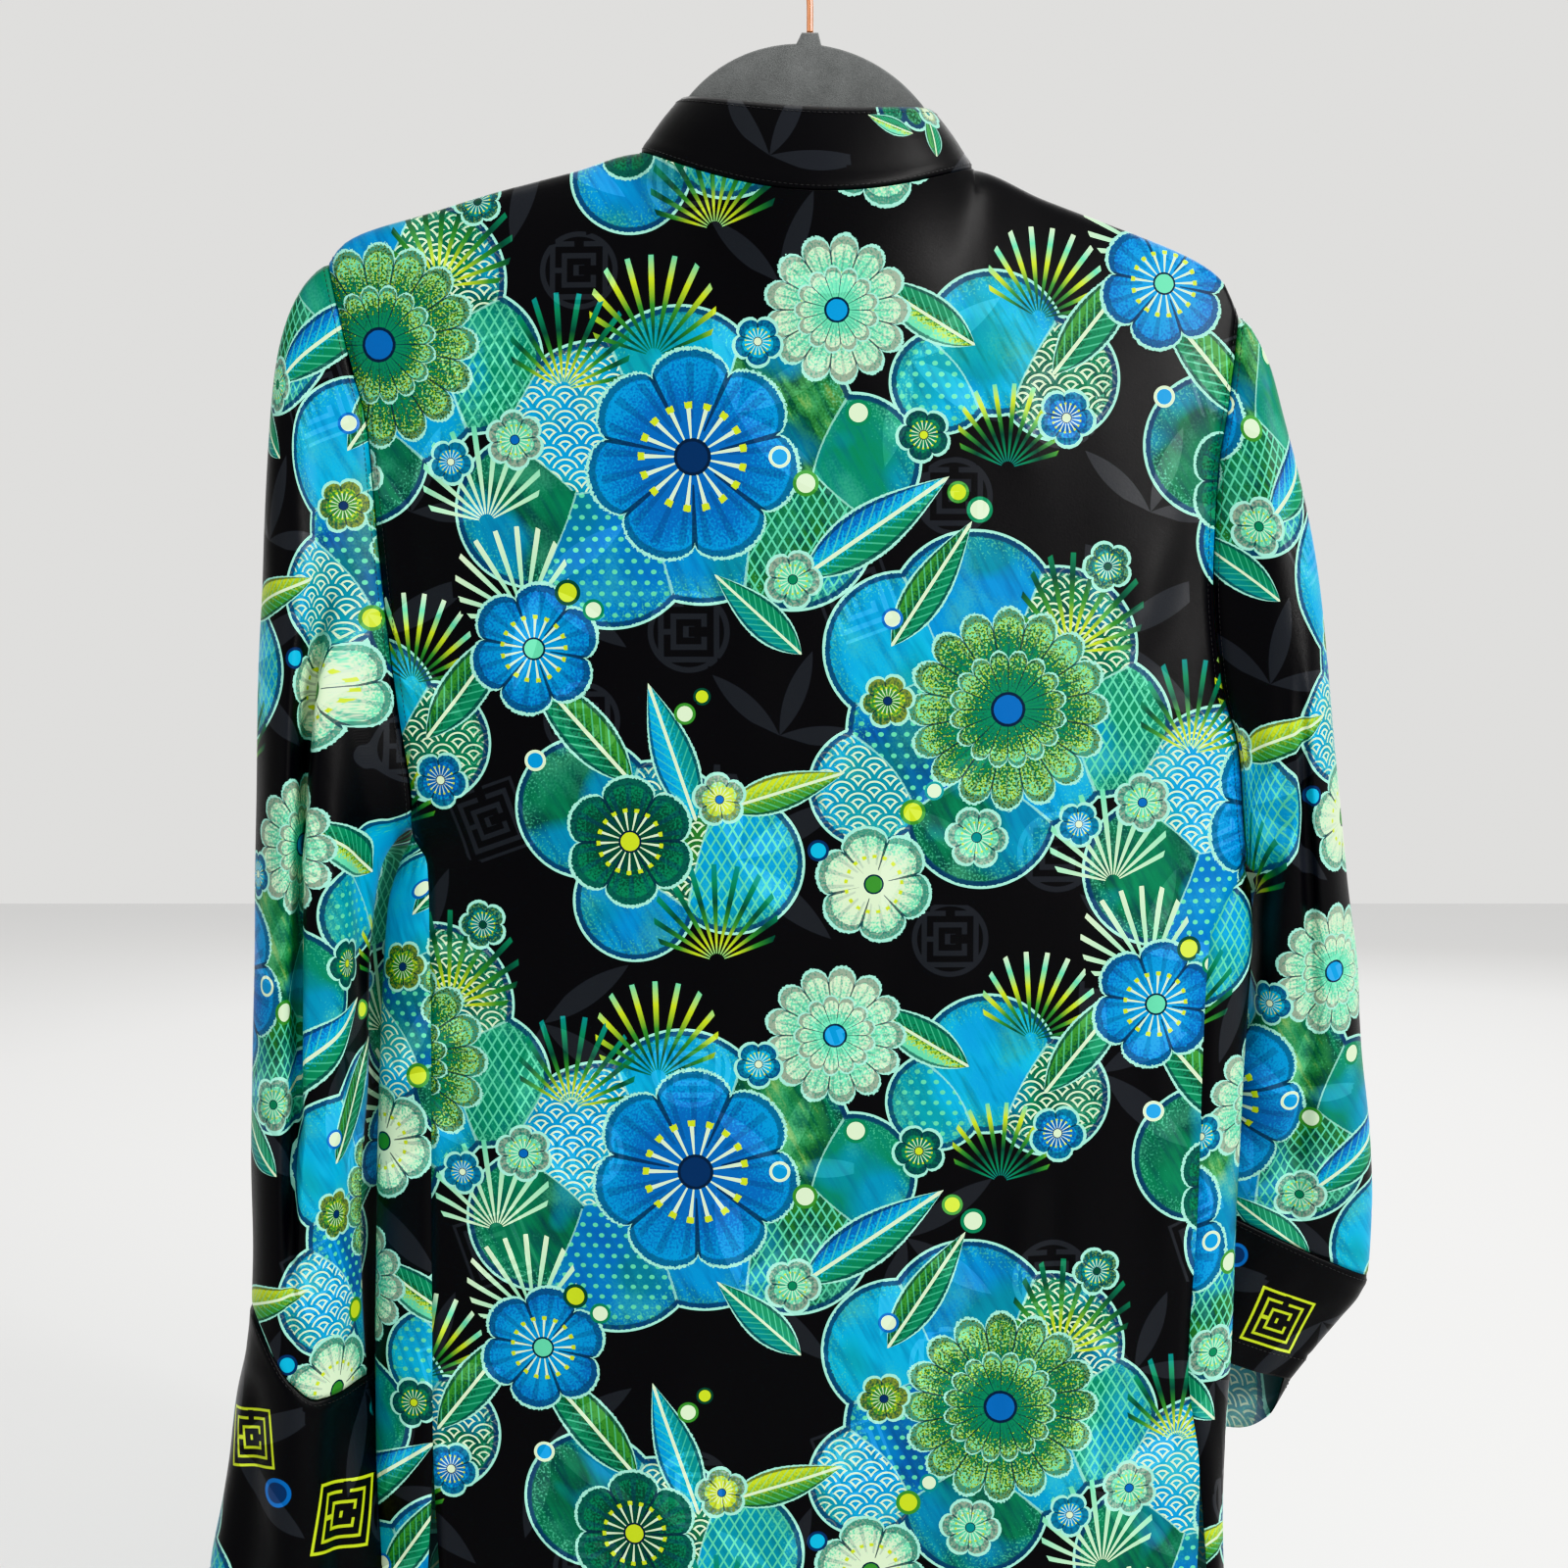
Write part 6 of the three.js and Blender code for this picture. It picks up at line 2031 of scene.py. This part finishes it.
@dataclass
class Tunic:
    """All the cloth of the tunic, with its sewing."""

    form: Form
    silk: Material
    trim: Material
    stitching: Stitching
    wall: float = 0.7
    sheets: dict[str, Sheet] = field(default_factory=dict)

    cuts = {
        "back": Cut(0.45, 0.755, 0.283), "collar": Cut(0.39, 0.042, 0.0129),
        "front_left": Cut(0.28, 0.755, 0.178), "front_right": Cut(0.27, 0.75, 0.169),
        "sleeve_left": Cut(0.225, 0.54, 0.1), "sleeve_right": Cut(0.205, 0.485, 0.075),
        "cuff_left": Cut(0.26, 0.17, 0.0332), "cuff_right": Cut(0.265, 0.13, 0.0215),
    }
    shifts = {
        "front_left": (96, 40), "front_right": (-70, 130),
        "sleeve_left": (52, 90), "sleeve_right": (-34, 10),
    }
    right_lean = ((0, 0), (436, 0), (453, 10), (470, 12), (510, 10), (540, 9), (600, 0), (860, 0))

    def weave(self) -> None:
        """Works out the cloth of every piece."""
        body = BodyPanels(self.form)
        left = SleeveForm(self.form, LEFT, SLEEVE_LEFT, CUFF_LEFT, SLEEVE_LEFT_CREASES, CUFF_LEFT_CREASES)
        right = SleeveForm(
            self.form, RIGHT, SLEEVE_RIGHT, CUFF_RIGHT, SLEEVE_RIGHT_CREASES, CUFF_RIGHT_CREASES,
            lean_depths=self.right_lean,
        )
        self.sheets = {
            "back": body.sheet(BACK, 0), "front_left": body.sheet(FRONT, LEFT),
            "front_right": body.sheet(FRONT, RIGHT), "collar": CollarForm(self.form).sheet(),
            "sleeve_left": left.sleeve(), "sleeve_right": right.sleeve(),
            "cuff_left": left.cuff(), "cuff_right": right.cuff(),
        }
        for name, (across, down) in self.shifts.items():
            self.sheets[name].across = self.sheets[name].across + across
            self.sheets[name].down = self.sheets[name].down + down

    def seams(self) -> dict[str, list[tuple[ndarray, ndarray]]]:
        """The lines of stitches on each piece of cloth."""
        sheets = self.sheets
        body_hem, cuff_hem, top = 20.5, 12.5, 3.0
        armhole = body_rows_above_underarm(self.form)
        edges = [seam_line(sheets["back"], top, far, True) for far in (False, True)]
        edges = [(a[:armhole], b[:armhole]) for a, b in edges]
        rows = {
            "back": [seam_line(sheets["back"], body_hem, True)] + edges,
            "collar": [seam_line(sheets["collar"], top, False), seam_line(sheets["collar"], 2.6, True)],
        }
        for side in ("left", "right"):
            front = sheets["front_" + side]
            a, b = seam_line(front, top, False, True)
            rows["front_" + side] = [
                seam_line(front, body_hem, True), seam_line(front, 5.0, True, True),
                (a[:armhole], b[:armhole]),
            ]
            rows["sleeve_" + side] = [seam_line(sheets["sleeve_" + side], top, False)]
            cuff = sheets["cuff_" + side]
            rows["cuff_" + side] = [seam_line(cuff, top, False), seam_line(cuff, cuff_hem, True)]
        return rows

    def build(self) -> None:
        """Makes every piece of cloth and sews it."""
        self.weave()
        seams = self.seams()
        layouts = {"collar": COLLAR_LAYOUT, "cuff_left": LEFT_CUFF_LAYOUT, "cuff_right": RIGHT_CUFF_LAYOUT}
        for name, sheet in self.sheets.items():
            wall = CollarForm.wall if name == "collar" else self.wall
            piece = ClothMesh(name + "_cloth", sheet, wall).build()
            PatternMarks(piece).mark(layouts.get(name, GARDEN))
            slot = "trim_silk" if name in layouts else "printed_silk"
            piece.data.materials.append(self.trim if name in layouts else self.silk)
            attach(piece, "root")
            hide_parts(name)
            sewn = self.stitching.sew(name + "_stitches", seams[name], slot)
            size = [float(np.ptp(sheet.across)), float(np.ptp(sheet.down))]
            LOG.info("%s: %d faces, pattern %.0f x %.0f mm", name, len(piece.data.polygons), *size)


@dataclass
class Buttons:
    """The buttons of the front, their thread and their buttonholes."""

    front: Sheet
    material: Material
    stitching: Stitching
    count: int = 7
    radius: float = 5.5
    thick: float = 2.6
    dish: float = 0.7
    rim: float = 1.1
    clear: float = 0.45
    hole_at: float = 1.3
    hole_radius: float = 0.62
    hole_depth: float = 1.7
    sides: int = 72
    hole_length: float = 14.0

    def profile(self) -> tuple[ndarray, ndarray]:
        """The radii and heights of a button's section, from its top's middle round to its back's."""
        fine = np.linspace(0.9, 2.8, 20)
        top = np.concatenate([[0.0, 0.35, 0.7], fine, [3.1, 3.4, 3.7, 3.95, 4.2, 4.45, 4.7, 4.95]])
        height = self.thick - self.dish * (1 - ease((top - (self.radius - self.rim - 1.0)) / 0.9))
        turn = np.radians(np.linspace(80, -80, 9))
        round_radius = self.radius - 0.6 + 0.6 * np.cos(turn)
        round_height = np.where(turn > 0, self.thick - 0.6, 0.6) + 0.6 * np.sin(turn)
        back = np.array([4.0, 2.0, 0.0])
        return np.concatenate([top, round_radius, back]), np.concatenate([height, round_height, 0 * back])

    def place(self, number: int) -> tuple[ndarray, ndarray, ndarray, ndarray]:
        """Where a button sits.

        Args:
            number: Its number from the top.

        Returns:
            The point of the cloth under it, the cloth's normal, and the directions across and up.
        """
        low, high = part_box(f"button_{number}")
        middle = (np.array(low) + np.array(high)) / 2.0 / MM
        points = self.front.points.reshape(-1, 3)
        near = np.argsort(np.hypot(points[:, 0] - middle[0], points[:, 2] - middle[2]))[:6]
        normal = self.front.normals().reshape(-1, 3)[near].mean(axis=0)
        normal /= norm(normal)
        point = points[near].mean(axis=0)
        point = np.array([middle[0], point[1], middle[2]])
        across = np.cross(np.array([0.0, 0.0, 1.0]), normal)
        across /= norm(across)
        return point, normal, across, np.cross(normal, across)

    def mesh(self, number: int) -> Mesh:
        """The mesh of one button."""
        point, normal, across, up = self.place(number)
        radii, heights = self.profile()
        turn = np.linspace(0.0, 2 * math.pi, self.sides, endpoint=False)
        x = radii[:, None] * np.cos(turn)
        y = radii[:, None] * np.sin(turn)
        top = np.arange(len(radii)) < 31
        far = np.hypot(np.abs(x) - self.hole_at, np.abs(y) - self.hole_at)
        pit = self.hole_depth * ease((self.hole_radius + 0.12 - far) / 0.24) * top[:, None]
        z = heights[:, None] - pit + self.clear
        grid = point + x[..., None] * across + y[..., None] * up + z[..., None] * normal
        name = f"button_{number}_round"
        return rounded_mesh(name, grid.reshape(-1, 3), ring_faces(len(radii), self.sides))

    def build(self) -> None:
        """Makes the buttons, their thread and the buttonholes."""
        holes, strands = [], []
        for number in range(1, self.count + 1):
            piece = add_object(f"button_{number}_round", self.mesh(number), self.material)
            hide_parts(f"button_{number}")
            point, normal, across, up = self.place(number)
            for side in (-1, 1):
                line = np.linspace(-1, 1, 30)[:, None] * up * self.hole_length / 2 + point
                line = line + across * side * 0.8
                holes.append((line + normal * 0.1, np.tile(normal, (30, 1))))
                base = self.thick - self.dish + self.clear + 0.2
                arc = np.linspace(-1, 1, 12)[:, None]
                strand = point + across * side * self.hole_at + up * arc * self.hole_at
                strands.append((strand + normal * (base + 0.35 * (1 - arc**2)), np.tile(normal, (12, 1))))
        self.stitching.sew("buttonholes", holes, "printed_silk", 0.55, 1.7, math.pi / 2)
        self.stitching.sew("button_threads", strands, "button", 0.5, 2.4, 0.0)
        LOG.info("buttons: %d", self.count)


@dataclass
class Hanger:
    """The flocked hanger and its wire hook."""

    form: Form
    flock: Material
    wire: Material
    thick: float = 5.0
    bevel: float = 1.3
    bevel_steps: int = 5
    under: float = 2.2
    left_tip: float = -213.0
    right_tip: float = 191.0
    arm_middle: float = 17.0
    arm_tip: float = 11.0
    end_face: float = 7.7
    arch_z: float = -139.6
    apex_z: float = -80.0
    dome_radius: float = 70.0
    dome_edge: float = 55.3
    nub: tuple[float, float, float] = (5.3, 3.8, -75.0)
    sharp_from: float = 40.0
    hook_radius: float = 1.55
    hook_sides: int = 24
    hook_inner: float = 17.0
    hook_angles: tuple[float, float] = (-25.0, 205.0)

    left_columns = (-224, -216, -205, -178, -146, -112, -79)
    right_columns = (76, 105, 134, 160, 184, 194, 200)
    neck = ((55.3, -107.1), (62, -117), (68, -125.6), (73, -132.8), (77.5, -136.3))
    stem = ((0.0, -74.65), (0.0, -63.45), (0.0, -54.0), (4.2, -45.0), (12.0, -35.0))

    def top(self, x: ndarray) -> ndarray:
        """The height of the upper edge at places across."""
        form = self.form
        across, tilt = np.abs(x - form.neck_x), form.neck_tilt * (x - form.neck_x)
        crown = np.sqrt(np.maximum(self.dome_radius**2 - across**2, 0.0))
        dome = self.apex_z - (self.dome_radius - crown) + tilt
        neck = Profile(*np.array(self.neck, float).T)(across) + tilt
        columns = np.array(self.left_columns + self.right_columns, float)
        arm = np.interp(x, columns, form.shoulder_line(columns)) - self.under
        return np.where(across <= self.dome_edge, dome, np.where(across < 77.5, neck, arm))

    def outline(self) -> ndarray:
        """The hanger's outline, across and up."""
        left = np.arange(self.left_tip + 1.2, -self.nub[0], 1.5)
        right = np.arange(self.nub[0], self.right_tip - 1.2, 1.5)
        under = np.linspace(self.right_tip, self.left_tip, 160)
        below = np.minimum(self.top(under), self.arch_z)
        reach = np.where(under < 0, under / self.left_tip, under / self.right_tip)
        below -= self.arm_middle + (self.arm_tip - self.arm_middle) * reach**2
        below[[0, -1]] = self.top(under[[0, -1]]) - self.end_face
        parts = [
            np.stack([left, self.top(left)], axis=1),
            np.array([[-self.nub[1], self.nub[2]], [self.nub[1], self.nub[2]]]),
            np.stack([right, self.top(right)], axis=1),
            np.stack([under, below], axis=1),
        ]
        return np.concatenate(parts)

    def body(self) -> Object:
        """Makes the flat hanger with its rounded edges."""
        outline = self.outline()
        ahead = np.roll(outline, -1, axis=0) - np.roll(outline, 1, axis=0)
        ahead /= norm(ahead, axis=1, keepdims=True)
        inward = np.stack([ahead[:, 1], -ahead[:, 0]], axis=1)
        loops = []
        turns = np.radians(np.linspace(0, 90, self.bevel_steps + 1))
        for face, order in ((-1, turns[::-1]), (1, turns)):
            for turn in order:
                flat = outline + inward * self.bevel * (1 - math.cos(turn))
                depth = face * (self.thick / 2 - self.bevel * (1 - math.sin(turn)))
                loops.append(np.stack([flat[:, 0], np.full(len(flat), depth), flat[:, 1]], axis=1))
        size, total = len(outline), len(loops) * len(outline)
        faces = [tuple(range(size)), tuple(range(total - 1, total - size - 1, -1))]
        mesh = rounded_mesh("hanger_body", np.concatenate(loops), faces + ring_faces(len(loops), size))
        mesh.set_sharp_from_angle(angle=math.radians(self.sharp_from))
        piece = add_object("hanger_body", mesh, self.flock)
        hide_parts("hanger")
        return piece

    def hook(self) -> Object:
        """Makes the wire hook: a round tube with a rounded tip."""
        reach = self.hook_inner + self.hook_radius
        angles = np.radians(np.arange(self.hook_angles[0], self.hook_angles[1] + 1.0, 23.0))
        ring = np.stack([reach * np.cos(angles), reach * np.sin(angles) - self.hook_inner], axis=1)
        path = smooth_path(np.concatenate([np.array(self.stem), ring]), 14)
        path = np.stack([path[:, 0], 0 * path[:, 0], path[:, 1]], axis=1)
        step = path[-1] - path[-2]
        last = step / norm(step)
        tip = np.radians(np.array([30.0, 55.0, 75.0, 86.0]))
        ends = path[-1] + (last * np.sin(tip)[:, None] - last) * self.hook_radius
        path = np.concatenate([path[: len(path) - int(self.hook_radius / norm(step)) - 1], ends])
        radius = np.full(len(path), self.hook_radius)
        radius[-len(tip):] *= np.cos(tip)
        tangent = np.gradient(path, axis=0)
        tangent /= norm(tangent, axis=1, keepdims=True)
        forward = np.array([0.0, 1.0, 0.0])
        turn = np.linspace(0.0, 2.0 * math.pi, self.hook_sides, endpoint=False)[:, None]
        round_one = np.cos(turn) * forward + np.sin(turn) * np.cross(tangent, forward)[:, None]
        rings = (path[:, None] + radius[:, None, None] * round_one).reshape(-1, 3)
        faces = ring_faces(len(path), self.hook_sides)
        start, end = len(rings), len(rings) - self.hook_sides
        for j in range(self.hook_sides):
            k = (j + 1) % self.hook_sides
            faces += [(start, k, j), (start + 1, end + j, end + k)]
        mesh = rounded_mesh("hook_wire", np.concatenate([rings, path[:1], path[-1:]]), faces)
        piece = add_object("hook_wire", mesh, self.wire)
        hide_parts("hook")
        return piece

    def build(self) -> None:
        """Makes the hanger and the hook."""
        for piece in (self.body(), self.hook()):
            LOG.info("%s: %d faces", piece.name, len(piece.data.polygons))


def smooth_path(guide: ndarray, steps: int) -> ndarray:
    """A smooth curve through points, with spans weighed by the root of their length.

    Args:
        guide: The points.
        steps: Number of steps in each span.

    Returns:
        The curve's points.
    """
    ends = np.concatenate([[2 * guide[0] - guide[1]], guide, [2 * guide[-1] - guide[-2]]])
    found = []
    for number in range(len(guide) - 1):
        a, b, c, d = ends[number : number + 4]
        t0, t1 = 0.0, math.sqrt(norm(b - a))
        t2 = t1 + math.sqrt(norm(c - b))
        t3 = t2 + math.sqrt(norm(d - c))
        t = np.linspace(t1, t2, steps, endpoint=False)[:, None]
        spans = ((a, b, t0, t1), (b, c, t1, t2), (c, d, t2, t3))
        ab, bc, cd = [p + (q - p) * (t - s) / (e - s) for p, q, s, e in spans]
        abc, bcd = ab + (bc - ab) * (t - t0) / (t2 - t0), bc + (cd - bc) * (t - t1) / (t3 - t1)
        found.append(abc + (bcd - abc) * (t - t1) / (t2 - t1))
    return np.concatenate(found + [guide[-1:]])


def main() -> None:
    """Builds the tunic, its hanger and the studio."""
    logging.basicConfig(level=logging.INFO, format="%(name)s %(message)s")
    Studio().build()
    form = Form()
    silk = PrintedSilk().material("printed_silk")
    trim = PrintedSilk(sheen=0.18, framed=True).material("trim_silk")
    stitching = Stitching(Thread().material())
    tunic = Tunic(form, silk, trim, stitching)
    tunic.build()
    Buttons(tunic.sheets["front_right"], ButtonPlastic().material(), stitching).build()
    Hanger(form, Flock().material(), CopperWire().material()).build()


if __name__ == "__main__":
    main()
